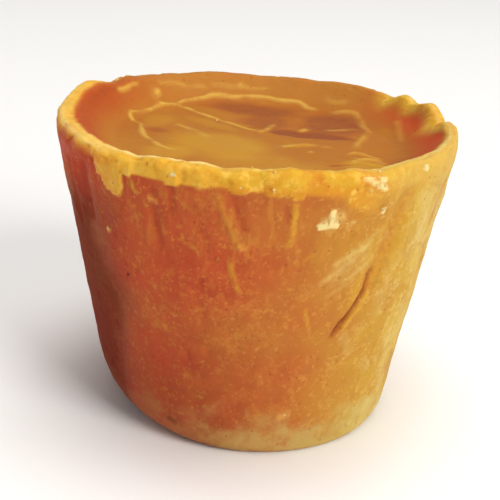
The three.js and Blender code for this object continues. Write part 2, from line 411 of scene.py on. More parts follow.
SKIN_LINES = (
    SkinLine("left loop", ((-34, 33), (-38, 27), (-41, 23), (-43.5, 19), (-42, 13), (-39, 9), (-38, 1),
                           (-36, -5), (-33, -10), (-30, -14), (-25, -17)), strength=0.95),
    SkinLine("link", ((-35, 32.4), (-32, 35), (-30, 36))),
    SkinLine("back loop", ((-30, 36), (-27, 40), (-21, 44), (-17, 46.5), (-11, 48), (-1, 49), (7, 48),
                           (12, 46), (16, 42), (19, 41)), height=0.35, strength=0.85),
    SkinLine("long diagonal", ((-30, 36), (-27, 34), (-23, 30), (-20, 27), (-15, 22), (-11, 18), (-7, 14),
                               (-3, 11), (0, 9)), height=0.4, strength=1.0),
    SkinLine("branch", ((-1, 8.5), (1, 12), (2, 15), (4, 20)), height=0.3, strength=0.85),
    SkinLine("pale run", ((-27, 13), (-24, 9), (-21, 4), (-17, -1)), height=0.2, half_width=1.5,
             strength=0.5),
    SkinLine("right loop", ((24, 38), (28, 38), (32, 35), (34, 29), (35, 21), (34, 13), (31, 3), (30, -2)),
             height=0.3, half_width=1.0, strength=0.5),
    SkinLine("far right", ((44, 23), (45, 18), (45, 12), (45, 6)), height=0.25, strength=0.35),
    SkinLine("light below the hole", ((7, -5), (11, -3.5), (16, -2)), height=0.2, half_width=1.3,
             strength=0.7),
    SkinLine("light below the hole, end", ((19, -3.4), (21.5, -3)), height=0.2, half_width=1.1,
             strength=0.5),
    SkinLine("light in the hole", ((21, 17.5), (26, 18.5), (31, 20)), height=0.2, half_width=1.4,
             strength=0.45),
    SkinLine("dab", ((13.2, 14), (14.6, 16.4)), height=0.3, half_width=1.2, strength=0.7),
    SkinLine("low dab", ((14.6, -10.2), (15.8, -9.6)), height=0.3, half_width=0.9, strength=0.8),
    SkinLine("right arc", ((27, -10), (30, -8), (33, -10), (36, -13)), height=0.3, half_width=1.0,
             strength=0.45),
    SkinLine("right arc, lower", ((28, -18), (30, -15), (34, -14), (38, -17)), height=0.3, half_width=1.0,
             strength=0.5),
    SkinLine("upper right", ((22, 47), (25, 44), (29, 42.5)), height=0.2, half_width=0.9, strength=0.35),
    SkinLine("bowl scrape", ((-49, 26), (-47, 30), (-44, 35)), height=0.35, half_width=1.1, strength=1.0),
    SkinLine("bowl scrape, beside", ((-37.6, 35.6), (-36.4, 38.4)), height=0.3, half_width=1.5,
             strength=0.9),
    SkinLine("back streak", ((-37, 41), (-31, 45), (-26, 47), (-20, 49)), height=0.2, half_width=0.9,
             strength=0.45),
    SkinLine("back streak, upper", ((-18, 51), (-13, 52), (-6, 53), (2, 53)), height=0.2, half_width=0.8,
             strength=0.4),
    SkinLine("back spot", ((-8.6, 53), (-7.6, 53.4)), height=0.3, half_width=1.0, strength=0.8),
)

CREASE_COUNT = 15  # short creases under the rim, round the sides and back


# ---- The cast block ----------------------------------------------------------------------------------


@dataclass
class Rows:
    """Neighbouring rings of the block's surface, from the base towards the middle of the top."""

    radius: Array
    height: Array
    rough: float


@dataclass
class Sheet:
    """The whole surface as a grid of rings by meridians, in millimetres and degrees."""

    radius: Array
    height: Array
    rough: Array
    azimuth: Array
    first_rim: int
    first_pool: int

    @property
    def row(self) -> Array:
        """The number of each ring."""
        return np.arange(len(self.radius), dtype=float)[:, None]

    @property
    def wall(self) -> Array:
        """Where the wall and its corner are."""
        return (self.row < self.first_rim) & (self.height > 0)

    @property
    def rim(self) -> Array:
        """Where the rim is."""
        return (self.row >= self.first_rim) & (self.row < self.first_pool)

    @property
    def pool(self) -> Array:
        """Where the sunken top is."""
        return self.row >= self.first_pool


@dataclass
class CastBlock:
    """The block's sizes in millimetres and degrees, before it is fitted to the frame's box."""

    base_radius: float = 46.2
    shoulder_radius: float = 61.9
    shoulder_height: float = 89.4
    crest_height: float = 94.1
    top_lean: float = -1.2
    pool_depth: float = 8.0
    pool_radius: float = 43.0
    skin_edge: Place = (54.0, 45.0)
    skin_start: Place = (56.0, 51.0)
    corner_bend: float = 1.2
    corner_slumps: tuple[tuple[float, float, float], ...] = ((-75, 16.0, 4.0), (86, 5.0, 12.0))
    rim_width: float = 6.6
    rim_width_swing: float = 1.5
    rim_lean: float = 0.18
    rim_overhang: float = 0.4
    rim_squareness: float = 0.66
    rim_turn: float = 122.0
    bowl_sharpness: float = 1.7
    outline_waves: Waves = ((2, 0.45, 35), (3, 0.3, 160), (5, 0.15, 80))
    crest_waves: Waves = (
        (2, 0.35, 200), (5, 0.25, 20), (9, 0.22, 75), (14, 0.16, 140), (23, 0.07, 60), (37, 0.05, 10),
    )
    span_waves: Waves = ((6, 0.28, 40), (11, 0.2, 10), (19, 0.14, 70))
    band_waves: Waves = ((7, 0.2, 30), (17, 0.15, 100), (31, 0.12, 0))
    around: int = 480
    front_density: float = 0.28
    base_rows: int = 8
    corner_rows: int = 9
    wall_rows: int = 86
    rim_rows: int = 26
    tinted_rim_rows: int = 9
    pool_rows: int = 72
    foot_line: float = 14.0
    seed: int = 11
    soft_right: Stretch = Stretch(8, 34, 100, 150)
    soft_left: Stretch = Stretch(-118, -84, -56, -44)
    high_band: Stretch = Stretch(-38, -30, -4, 6)
    low_band: Stretch = Stretch(12, 30, 80, 120)
    highlit_left_ridge: Stretch = Stretch(-130, -100, -52, -36)
    broad_rim: Stretch = Stretch(-150, -125, -50, -32)
    narrow_rim: Stretch = Stretch(40, 58, 82, 94)
    lumpy_rim: Stretch = Stretch(84, 94, 128, 140)
    blushing_side: Stretch = Stretch(-125, -85, -56, -32)
    red_side: Stretch = Stretch(-125, -75, -42, -8)
    foot_shade_side: Stretch = Stretch(-175, -100, -22, 22)
    band_painted_light_side: Stretch = Stretch(-150, -100, -26, 4)
    # Strength of the painted crest highlight round the block.
    crest_highlight_round: tuple[Place, ...] = (
        (-150, 0.0), (-120, 0.1), (-70, 0.1), (-45, 0.45), (-30, 1.1), (-11, 1.1), (-8, 0.25), (20, 0.2),
        (32, 0.4), (60, 0.45), (95, 0.3), (120, 0.2), (150, 0.0),
    )
    honey_round: tuple[Place, ...] = (
        (-20, 0.04), (0, 0.16), (15, 0.26), (26, 0.4), (35, 0.62), (47, 0.8), (60, 1.0), (110, 0.85),
        (170, 0.3),
    )
    foot_round: tuple[Place, ...] = (
        (-60, 0.1), (-20, 0.3), (0, 0.75), (30, 1.0), (70, 1.0), (120, 0.6), (170, 0.2),
    )
    azimuth: Array = field(init=False)

    def __post_init__(self) -> None:
        """Spaces the meridians, closer at the front than at the back."""
        even = np.linspace(-math.pi, math.pi, self.around, endpoint=False)
        self.azimuth = np.degrees(even - self.front_density * np.sin(even))

    @property
    def taper(self) -> float:
        """How much the wall's radius grows for each millimetre of height."""
        return (self.shoulder_radius - self.base_radius) / self.shoulder_height

    @property
    def pool_height(self) -> float:
        """The level of the skin."""
        return self.crest_height - self.pool_depth

    def band_foot(self, azimuth: Array) -> Array:
        """The height of the yellow band's lower edge, with its drips.

        Args:
            azimuth: Azimuths in degrees.

        Returns:
            The height at each azimuth, in millimetres.
        """
        foot = self.shoulder_height + waves(self.band_waves, azimuth)
        foot = foot + 5.0 * bump(turn_between(-66, azimuth), 26.0)
        foot = foot + 0.6 * self.high_band.share(azimuth) - 1.2 * self.low_band.share(azimuth)
        for centre, half_width, drop in RIM_DRIPS:
            side = np.abs(turn_between(centre, azimuth)) / half_width
            foot = foot - drop * np.clip(1.0 - side**3.0, 0.0, 1.0)
        return foot

    def band_softness(self, azimuth: Array) -> Array:
        """Where the yellow band fades into the wall instead of ending at an edge.

        Args:
            azimuth: Azimuths in degrees.

        Returns:
            How soft the band's lower edge is, from 0 to 1.
        """
        sides = np.maximum(self.soft_right.share(azimuth), self.soft_left.share(azimuth))
        behind = 0.5 + 0.5 * np.cos(np.radians(3 * azimuth + 40))
        return np.maximum(sides, behind * smooth(100, 140, np.abs(azimuth)))

    @property
    def crest_step(self) -> int:
        """How many rows the rim's section has before its top."""
        return int(self.rim_rows * 90.0 / self.rim_turn)

    def crest_highlight_line(self, azimuth: Array, step: Array) -> Array:
        """A painted highlight: a pale line along the inner edge of the rim's top, strongest at the front
        left, with pale spots along the left ridge.

        Args:
            azimuth: Azimuths in degrees.
            step: The ring's place in the rim's section, counted from 1.

        Returns:
            How much painted highlight each place has.
        """
        angle = step * self.rim_turn / self.rim_rows
        line = bump(angle - 98.0, 13.0) * profile(azimuth, self.crest_highlight_round)
        ridge = 0.45 * bump(angle - 70.0, 32.0) * self.highlit_left_ridge.share(azimuth)
        return np.maximum(line, ridge)

    def rim_break(self, azimuth: Array) -> Array:
        """How far the rim is heaped up or broken down."""
        return sum(one.rise * bump(turn_between(one.azimuth, azimuth), one.half_width) for one in RIM_BREAKS)

    def crest(self, azimuth: Array) -> Array:
        """The height of the rim's top."""
        return self.crest_height + waves(self.crest_waves, azimuth) + self.rim_break(azimuth)

    def all_wall_marks(self) -> list[WallMark]:
        """The marks of the front, and creases of the same kind round the sides and back.

        Returns:
            Every mark of the wall.
        """
        marks = list(WALL_MARKS)
        draw = np.random.default_rng(self.seed)
        for index in range(CREASE_COUNT):
            azimuth = 62 + (236.0 / CREASE_COUNT) * (index + draw.uniform(0.2, 0.8))
            top, length, slant = draw.uniform(84, 89), draw.uniform(8, 24), draw.uniform(-4, 4)
            middle = (azimuth + 0.4 * slant, top - 0.5 * length)
            path = ((azimuth, top), middle, (azimuth + slant, top - length))
            depth = draw.uniform(0.25, 0.7)
            marks.append(WallMark(f"back crease {index}", path, draw.uniform(1.6, 3.2), -depth, Tint.GROOVE_SHADE,
                                  draw.uniform(0.35, 0.7), lip=0.15, fade=0.4))
            if draw.uniform() < 0.5:
                side = azimuth + draw.uniform(3, 6)
                path = ((side, top - 4), (side + 0.6 * slant, top - 5 - 0.7 * length))
                marks.append(WallMark(f"back streak {index}", path, 1.1, 0.4, Tint.YELLOW, 0.5, fade=0.3))
        long_fold = ((168, 80), (171, 66), (176, 55), (183, 47))
        marks.append(WallMark("back fold, soft part", long_fold, 5.0, -1.4, lip=0.3))
        marks.append(WallMark("back fold, line", long_fold[1:], 1.5, -1.1, Tint.CREASE, 0.8, lip=0.4))
        return marks

    def wall_relief(self, azimuth: Array, height: Array) -> tuple[Array, dict[str, Array]]:
        """What the marks do to the wall.

        Args:
            azimuth: Azimuth of each place, in degrees.
            height: Height of each place, in millimetres.

        Returns:
            The rise of the wall in millimetres, and the strength of each tint.
        """
        relief = 0.12 * np.sin(2 * math.pi * height / 46 + np.radians(2 * azimuth))
        tints = {tint.value: np.zeros_like(height) for tint in Tint}
        arc = np.radians(self.base_radius + self.taper * height)
        angle = np.radians(azimuth)
        round_place = np.stack([np.cos(angle) * 55, np.sin(angle) * 55, height], -1)
        wander_across = 0.7 * grain(round_place, 7.0, 2, 3.1)
        wander_up = 0.7 * grain(round_place, 7.0, 2, 9.7)
        for mark in self.all_wall_marks():
            first = turn_between(azimuth, mark.path[0][0])
            path = [((first + a - mark.path[0][0]) * arc, z) for a, z in rounded_path(mark.path)]
            distance, along = path_distance(wander_across, height + wander_up, path)
            ends = smooth(0.0, mark.fade, along + 0.25 * mark.fade)
            ends = ends * smooth(1.0, 1.0 - mark.fade, along - 0.25 * mark.fade)
            width = mark.half_width * (0.55 + 0.45 * ends)
            relief = relief + ends * mark.rise * bump(distance, width)
            relief = relief + ends * mark.lip * bump(distance - 1.7 * width, width)
            if mark.tint:
                spread = 1.15 if mark.tint is Tint.CREASE else 1.0
                stain_and_shadow = mark.strength * ends * bump(distance, spread * width)
                tints[mark.tint.value] = np.maximum(tints[mark.tint.value], stain_and_shadow)
        return relief, tints

    def plain_radius(self, azimuth: Array, height: Array) -> Array:
        """The wall's radius without marks."""
        return self.base_radius + self.taper * height + waves(self.outline_waves, azimuth)

    def corner_size(self, azimuth: Array) -> Array:
        """How far the base corner's bend reaches.

        Args:
            azimuth: Azimuths in degrees.

        Returns:
            The reach at each azimuth, in millimetres.
        """
        bend = np.full_like(azimuth, self.corner_bend)
        for centre, size, sharpness in self.corner_slumps:
            facing = 0.5 + 0.5 * np.cos(np.radians(azimuth - centre))
            bend = bend + size * facing**sharpness
        return bend

    def base_and_corner(self) -> tuple[Rows, Rows]:
        """The flat base and the bend round its edge.

        Returns:
            The base's rings and the corner's.
        """
        bend = self.corner_size(self.azimuth)
        foot = self.plain_radius(self.azimuth, np.zeros_like(self.azimuth))
        share = np.linspace(0, 1, self.base_rows + 1)[:, None]
        base = Rows(share * (foot - bend), np.zeros_like(share * bend), rough=0.0)
        t = (np.arange(1, self.corner_rows + 1) / self.corner_rows)[:, None]
        top = self.plain_radius(self.azimuth, bend)
        radius = (1 - t) ** 2 * (foot - bend) + 2 * t * (1 - t) * foot + t**2 * top
        return base, Rows(radius, t**2 * bend, rough=0.5)

    def wall(self) -> Rows:
        """The wall, from the corner to the foot of the rim.

        Returns:
            The wall's rings.
        """
        start = self.corner_size(self.azimuth)
        t = (np.arange(1, self.wall_rows + 1) / self.wall_rows)[:, None]
        height = start + (self.shoulder_height - start) * t
        return Rows(self.plain_radius(self.azimuth, height), height, rough=1.0)

    def rim_span(self) -> Array:
        """The rim's width, most on the left and least on the right."""
        swing = self.rim_width_swing * np.sin(np.radians(self.azimuth))
        return self.rim_width - swing + waves(self.span_waves, self.azimuth)

    def rim(self) -> Rows:
        """The rim's section, from the shoulder over the crest to the top of the bowl.

        Returns:
            The rim's rings.
        """
        span = self.rim_span()
        outside = span * (0.5 - self.rim_lean * np.sin(np.radians(self.azimuth)) ** 2)
        shoulder = np.full_like(self.azimuth, self.shoulder_height)
        outer = self.plain_radius(self.azimuth, shoulder)
        share = (np.arange(self.rim_rows) + 0.6) / (self.rim_rows - 0.4)
        angle = (math.radians(self.rim_turn) * share)[:, None]
        flat_cos = np.sign(np.cos(angle)) * np.abs(np.cos(angle)) ** self.rim_squareness
        flat_sin = np.sin(angle) ** self.rim_squareness
        rise = self.crest(self.azimuth) - self.shoulder_height
        reach = np.where(flat_cos > 0, outside, span - outside)
        return Rows(outer - outside + reach * flat_cos, self.shoulder_height + rise * flat_sin, rough=1.3)

    def pool(self, inner: Array, inner_height: Array) -> Rows:
        """The sunken top: a bowl that climbs to the rim, and a level middle.

        Args:
            inner: Radius of the rim's inner end at each meridian.
            inner_height: Height of the rim's inner end at each meridian.

        Returns:
            The rings from the rim to the middle.
        """
        t = (np.arange(1, self.pool_rows + 1) / self.pool_rows)[:, None]
        radius = inner * (1 - t)
        climb = np.clip((radius - self.pool_radius) / (inner - self.pool_radius), 0.0, 1.0)
        lump = self.rim_break(self.azimuth)
        height = self.pool_height + (inner_height - lump - self.pool_height) * climb**self.bowl_sharpness
        height = height + lump * climb**9.0
        return Rows(radius, height, rough=0.35)

    def skin_relief(self, x: Array, y: Array) -> tuple[Array, Array, Array]:
        """The skin's swells and wrinkles.

        Args:
            x: Place in plan.
            y: Place in plan.

        Returns:
            The rise in millimetres, how tan the skin is from -1 to 1, and the wrinkles' mask.
        """
        place = np.stack([x, y, np.zeros_like(x)], -1)
        wander_x = x + 1.0 * grain(place, 9.0, 2, 5.3)
        wander_y = y + 1.0 * grain(place, 9.0, 2, 1.9)
        thickness = 1.0 + 0.5 * grain(place, 5.0, 2, 12.6)
        drift_x = wander_x + 2.6 * grain(place, 15.0, 3, 27.4)
        drift_y = wander_y + 2.2 * grain(place, 15.0, 3, 36.2)
        rise, tan, line = np.zeros_like(x), np.zeros_like(x), np.zeros_like(x)
        for mark in SKIN_MARKS:
            turn = math.radians(mark.turn)
            dx, dy = drift_x - mark.centre[0], drift_y - mark.centre[1]
            along = (dx * math.cos(turn) + dy * math.sin(turn)) / mark.half[0]
            across = (dy * math.cos(turn) - dx * math.sin(turn)) / mark.half[1]
            hill = bump(np.hypot(along, across), 1.0)
            rise = rise + mark.rise * hill
            tan = tan + mark.tan * smooth(0.0, 0.75, hill)
        for wrinkle in SKIN_LINES:
            distance, along = path_distance(wander_x, wander_y, rounded_path(wrinkle.path))
            ends = 0.35 + 0.65 * smooth(0.0, 0.08, along) * smooth(1.0, 0.92, along)
            hill = ends * bump(distance, 1.6 * wrinkle.half_width * thickness)
            rise = rise + wrinkle.height * hill
            line = np.maximum(line, wrinkle.strength * hill)
        return rise, tan, line

    def sheet(self) -> Sheet:
        """Stacks the plain rings of the base, the corner, the wall, the rim and the pool.

        Returns:
            The surface without marks.
        """
        base, corner = self.base_and_corner()
        wall, rim = self.wall(), self.rim()
        pool = self.pool(rim.radius[-1], rim.height[-1])
        parts = (base, corner, wall, rim, pool)
        radius = np.concatenate([part.radius for part in parts])
        first_rim = sum(len(part.radius) for part in parts[:3])
        return Sheet(
            radius=radius,
            height=np.concatenate([part.height for part in parts]),
            rough=np.concatenate([np.full(part.radius.shape, part.rough) for part in parts]),
            azimuth=np.broadcast_to(self.azimuth, radius.shape),
            first_rim=first_rim,
            first_pool=first_rim + len(rim.radius),
        )

    def carve_wall(self, sheet: Sheet) -> tuple[Array, dict[str, Array]]:
        """Moves the wall by its marks, the overhang of its band and the ledge of its foot.

        Args:
            sheet: The surface, whose radius is changed.

        Returns:
            The yellow band's share of the outside, and the strength of each tint.
        """
        azimuth, height = sheet.azimuth, sheet.height
        wander = 1.1 * grain(np.stack([azimuth * 1.1, height, 0 * height], -1), 3.2, 2, 17.0)
        foot = self.band_foot(azimuth + wander - 0.3 * np.clip(90.0 - height, 0.0, 10.0))
        soft = self.band_softness(azimuth)
        band = smooth(foot - 0.4 - 3.0 * soft, foot + 0.4 + 1.2 * soft, height)
        relief, tints = self.wall_relief(azimuth, np.minimum(height, self.shoulder_height + 3.0))
        under_rim = -0.22 * bump(height - foot + 1.0, 1.6) * (1 - soft)
        ledge = 0.14 * smooth(self.foot_line + 1.0, self.foot_line - 0.6, height)
        ledge = ledge * smooth(2.0, 8.0, height) * smooth(-5, 10, azimuth)
        proud = self.rim_overhang * (1 - 0.8 * soft) * band + under_rim + ledge
        moved = sheet.radius + smooth(1.0, 12.0, height) * relief + proud
        radius = np.where(sheet.wall, moved, sheet.radius)
        last = sheet.first_rim - 1
        carried = radius[last] - self.plain_radius(self.azimuth, height[last])
        fading = smooth(sheet.first_pool - 2.0, last, sheet.row)
        sheet.radius = radius + np.where(sheet.rim, carried * fading, 0.0)
        return band, tints

    def surface(self) -> tuple[Array, dict[str, Array]]:
        """The whole surface.

        Returns:
            Places of rows by meridians by three coordinates, in millimetres, and the masks over them.
        """
        sheet = self.sheet()
        band, tints = self.carve_wall(sheet)
        angle = np.radians(sheet.azimuth)
        x = self.top_lean * sheet.height / self.shoulder_height + sheet.radius * np.sin(angle)
        y = -sheet.radius * np.cos(angle)
        rise, tan, line = self.skin_relief(x, y)
        skin_height = sheet.height + rise * smooth(*self.skin_start, sheet.radius)
        sheet.height = np.where(sheet.pool, skin_height, sheet.height)
        places = self.roughen(np.stack([x, y, sheet.height], -1), sheet)
        marked = (sheet.wall | sheet.rim) & (sheet.row < sheet.first_rim + self.tinted_rim_rows)
        masks = {name: np.where(marked, mask, 0.0) for name, mask in tints.items()}
        on_top = {"skin": smooth(*self.skin_edge, sheet.radius), "tan": tan, "line": line}
        masks |= {name: np.where(sheet.pool, mask, 0.0) for name, mask in on_top.items()}
        return places, masks | self.finish_masks(sheet, places, band)

    def band_everywhere(self, sheet: Sheet, band: Array) -> Array:
        """The yellow band on the outside and over the inner edge of the rim.

        Args:
            sheet: The surface.
            band: The band's share of the outside.

        Returns:
            The band's share of each place.
        """
        azimuth, crest_row = sheet.azimuth, sheet.first_rim + self.crest_step
        broad, narrow = self.broad_rim.share(azimuth), self.narrow_rim.share(azimuth)
        drop = self.crest(self.azimuth) - sheet.height
        shoulder = np.full_like(self.azimuth, self.shoulder_height)
        inset = self.plain_radius(self.azimuth, shoulder) - sheet.radius
        inner = smooth(3.0 - 1.4 * narrow + 2.6 * self.lumpy_rim.share(azimuth), 0.9 - 0.7 * narrow, drop)
        inner = inner * (1 - broad) + broad * smooth(6.8, 4.2, inset)
        bare = np.maximum(smooth(-113, -122, azimuth), smooth(129, 140, azimuth))
        bare = bare * smooth(crest_row - 9.0, crest_row - 2.0, sheet.row)
        return np.where(sheet.row >= crest_row, inner, band) * (1.0 - 0.9 * bare)

    def finish_masks(self, sheet: Sheet, places: Array, band: Array) -> dict[str, Array]:
        """Where the finish is honey or red, in bloom, darker under painted shadow and shade, or lighter
        under a painted highlight along the crest and a painted glow on the right inside of the rim.

        Args:
            sheet: The surface.
            places: The rough surface's places, in millimetres.
            band: The yellow band's share of the outside.

        Returns:
            The masks by name.
        """
        azimuth, height, around = sheet.azimuth, places[..., 2], np.abs(sheet.azimuth)
        full_band = self.band_everywhere(sheet, band)
        clouds = grain(places * np.array([1.0, 1.0, 0.5]), 14.0, 4, 23.0)
        # Painted shadow: a cloudy dark patch on the left side below the band, as if a neighbouring block
        # shaded it.
        stain_and_shadow = smooth(-32, -55, azimuth + 7 * clouds) * smooth(-104, -66, azimuth + 22 * clouds)
        stain_and_shadow = stain_and_shadow * (1 - full_band) * smooth(87, 70, height)
        # Painted shade: the wall darker towards its foot, on the left and front.
        low = smooth(60, 6, height) * self.foot_shade_side.share(azimuth) * (1 - 0.6 * stain_and_shadow)
        blush = self.blushing_side.share(azimuth) * smooth(93.6, 91.6, height) * (1 - smooth(84, 78, height))
        streak = smooth(50, 84, sheet.height) * smooth(-48, -30, azimuth) * (1 - band)
        painted_highlight = self.crest_highlight_line(azimuth, sheet.row - sheet.first_rim + 1.0)
        crest_row = sheet.first_rim + self.crest_step
        return {
            "band": full_band,
            "top": np.where(sheet.row >= crest_row, 1.0 - full_band, 0.0),
            "honey": self.honey(azimuth, places),
            "foot": self.foot_bloom(azimuth, places),
            "stain_and_shadow": stain_and_shadow,
            "low": low,
            "blush": blush,
            "red": self.red_side.share(azimuth),
            "west": self.band_painted_light_side.share(azimuth),
            "near": smooth(98, 78, around),
            "behind": smooth(108, 150, around),
            # Painted glow: the rim's inner wall redder towards the right, as if lit through the thin rim.
            "glow": smooth(-60, 60, azimuth),
            "streak": np.where(sheet.wall, streak, 0.0),
            "crown": np.where(sheet.rim | sheet.pool, smooth(90.0, 93.2, sheet.height), 0.0),
            "edge": np.where(sheet.rim, painted_highlight, 0.0),
        }

    def honey(self, azimuth: Array, places: Array) -> Array:
        """How far the wall goes from deep orange to honey yellow, partly sugar bloom and partly painted
        light on the lit right side: most on the right, patchy behind.

        Args:
            azimuth: Azimuths in degrees.
            places: Places in millimetres.

        Returns:
            The share of honey yellow, from 0 to 1.
        """
        patches = grain(places, 22.0, 3, 14.2)
        right = profile(azimuth, self.honey_round) * (1.0 - 0.16 * smooth(48, 20, places[..., 2]))
        behind = 0.36 * smooth(80, 150, np.abs(azimuth)) * np.clip(0.6 + 0.7 * patches, 0, 1)
        return np.clip(np.maximum(right, behind) + 0.12 * patches, 0, 1)

    def foot_bloom(self, azimuth: Array, places: Array) -> Array:
        """The pale bloom along the foot, where the block stood in its syrup, with a ragged upper edge.

        Args:
            azimuth: Azimuths in degrees.
            places: Places in millimetres.

        Returns:
            How much bloom there is, from 0 to 1.
        """
        ragged = 7.0 * grain(places, 8.0, 5, 61.0)
        level = smooth(self.foot_line + 4.0, self.foot_line - 7.0, places[..., 2] + ragged)
        return level * profile(azimuth, self.foot_round)

    def roughen(self, places: Array, sheet: Sheet) -> Array:
        """Moves the surface along its normals by lumps, ripples and pits.

        Args:
            places: The smooth surface.
            sheet: How rough it is, and where the rim and the pool are.

        Returns:
            The rough surface.
        """
        swell = 0.34 * grain(places, 24.0, 2, 0.4)
        lumps = 0.16 * grain(places, 6.5, 3, 7.7)
        pits = -0.45 * np.clip(grain(places, 3.1, 2, 21.0) - 0.42, 0.0, 1.0) / 0.4
        crumble = 0.26 * grain(places, 3.6, 2, 31.0) + 0.34 * grain(places, 8.0, 2, 44.0)
        move = swell + lumps + pits
        move = np.where(sheet.rim, move + crumble * smooth(60.0, -20.0, places[..., 1]), move)
        move = np.where(sheet.pool, swell + 0.5 * lumps, move)
        gentle = smooth(0.0, 6.0, places[..., 2])
        return places + grid_normals(places) * (move * sheet.rough * gentle)[..., None]

    def mesh(self, name: str) -> tuple[Mesh, Array]:
        """Makes the block's closed mesh, fitted to the frame's box.

        Args:
            name: The mesh's name.

        Returns:
            The mesh in metres, and the grid's places in metres.
        """
        places, masks = self.surface()
        places = fit_to_box(places * MM, *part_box(NODE))
        rows, columns = places.shape[:2]
        inner = places[1:-1].reshape(-1, 3)
        vertices = np.vstack([places[0].mean(0), inner, places[-1].mean(0)])
        mesh = bpy.data.meshes.new(name)
        mesh.from_pydata(vertices.tolist(), [], grid_faces(rows - 2, columns))
        for mask_name, mask in masks.items():
            write_mask(mesh, mask_name, np.hstack([mask[0].mean(), mask[1:-1].ravel(), mask[-1].mean()]))
        mesh.polygons.foreach_set("use_smooth", [True] * len(mesh.polygons))
        self.add_bake_map(mesh, rows, columns)
        mesh.update()
        return mesh, places

    def add_bake_map(self, mesh: Mesh, rows: int, columns: int) -> None:
        """Unrolls the wall into a strip, and the top and the base into two discs beside each other.

        Args:
            mesh: The block's mesh.
            rows: Rows of the grid, with both poles.
            columns: Meridians of the grid.
        """
        foot_row = self.base_rows
        crest_row = foot_row + self.corner_rows + self.wall_rows + self.rim_rows // 2
        middle, half = 0.25, 0.235
        corners = np.zeros(len(mesh.loops), np.int32)
        mesh.loops.foreach_get("vertex_index", corners)
        grid = corners - 1
        row = grid // columns + 1
        column = (grid % columns).astype(float)
        faces = np.repeat(np.arange(len(mesh.polygons)), [len(p.vertices) for p in mesh.polygons])
        starts = np.array([p.loop_start for p in mesh.polygons])[faces]
        column = np.where((column == 0) & (column[starts] == columns - 1), columns, column)
        face_row = np.maximum.reduceat(row, np.unique(starts))[faces]
        angle = np.radians(self.azimuth[(column % columns).astype(int)])
        on_top, on_base = face_row > crest_row, face_row <= foot_row
        reach = half * np.where(on_top, (rows - 1 - row) / (rows - 1 - crest_row), row / foot_row)
        centre = np.where(on_top, middle, 3 * middle)
        in_strip = ~(on_top | on_base)
        u = np.where(in_strip, 0.01 + 0.98 * column / columns, centre + reach * np.sin(angle))
        strip_v = 0.01 + 0.47 * (row - foot_row) / (crest_row - foot_row)
        v = np.where(in_strip, strip_v, 3 * middle - reach * np.cos(angle))
        layer = mesh.uv_layers.new(name="OFBake")
        layer.data.foreach_set("uv", np.stack([u, v], -1).astype(np.float32).ravel())


def grid_faces(rings: int, columns: int) -> list[tuple[int, ...]]:
    """Faces of a closed grid with a pole at each end.

    Args:
        rings: Rings between the poles.
        columns: Places in each ring.

    Returns:
        The faces, pointing outwards.
    """
    faces: list[tuple[int, ...]] = []
    last = rings * columns + 1
    for j in range(columns):
        k = (j + 1) % columns
        faces.append((0, 1 + k, 1 + j))
        for i in range(rings - 1):
            low, high = 1 + i * columns, 1 + (i + 1) * columns
            faces.append((low + j, low + k, high + k, high + j))
        top = 1 + (rings - 1) * columns
        faces.append((top + j, top + k, last))
    return faces


def fit_to_box(places: Array, low: Vector, high: Vector) -> Array:
    """Moves and scales places so that they fill the frame's box.

    Args:
        places: Places in metres.
        low: The box's lowest corner.
        high: The box's highest corner.

    Returns:
        The fitted places.
    """
    flat = places.reshape(-1, 3)
    lowest, highest = flat.min(0), flat.max(0)
    return np.array(low) + (places - lowest) * (np.array(high) - np.array(low)) / (highest - lowest)


# ---- Wiring node trees -------------------------------------------------------------------------------


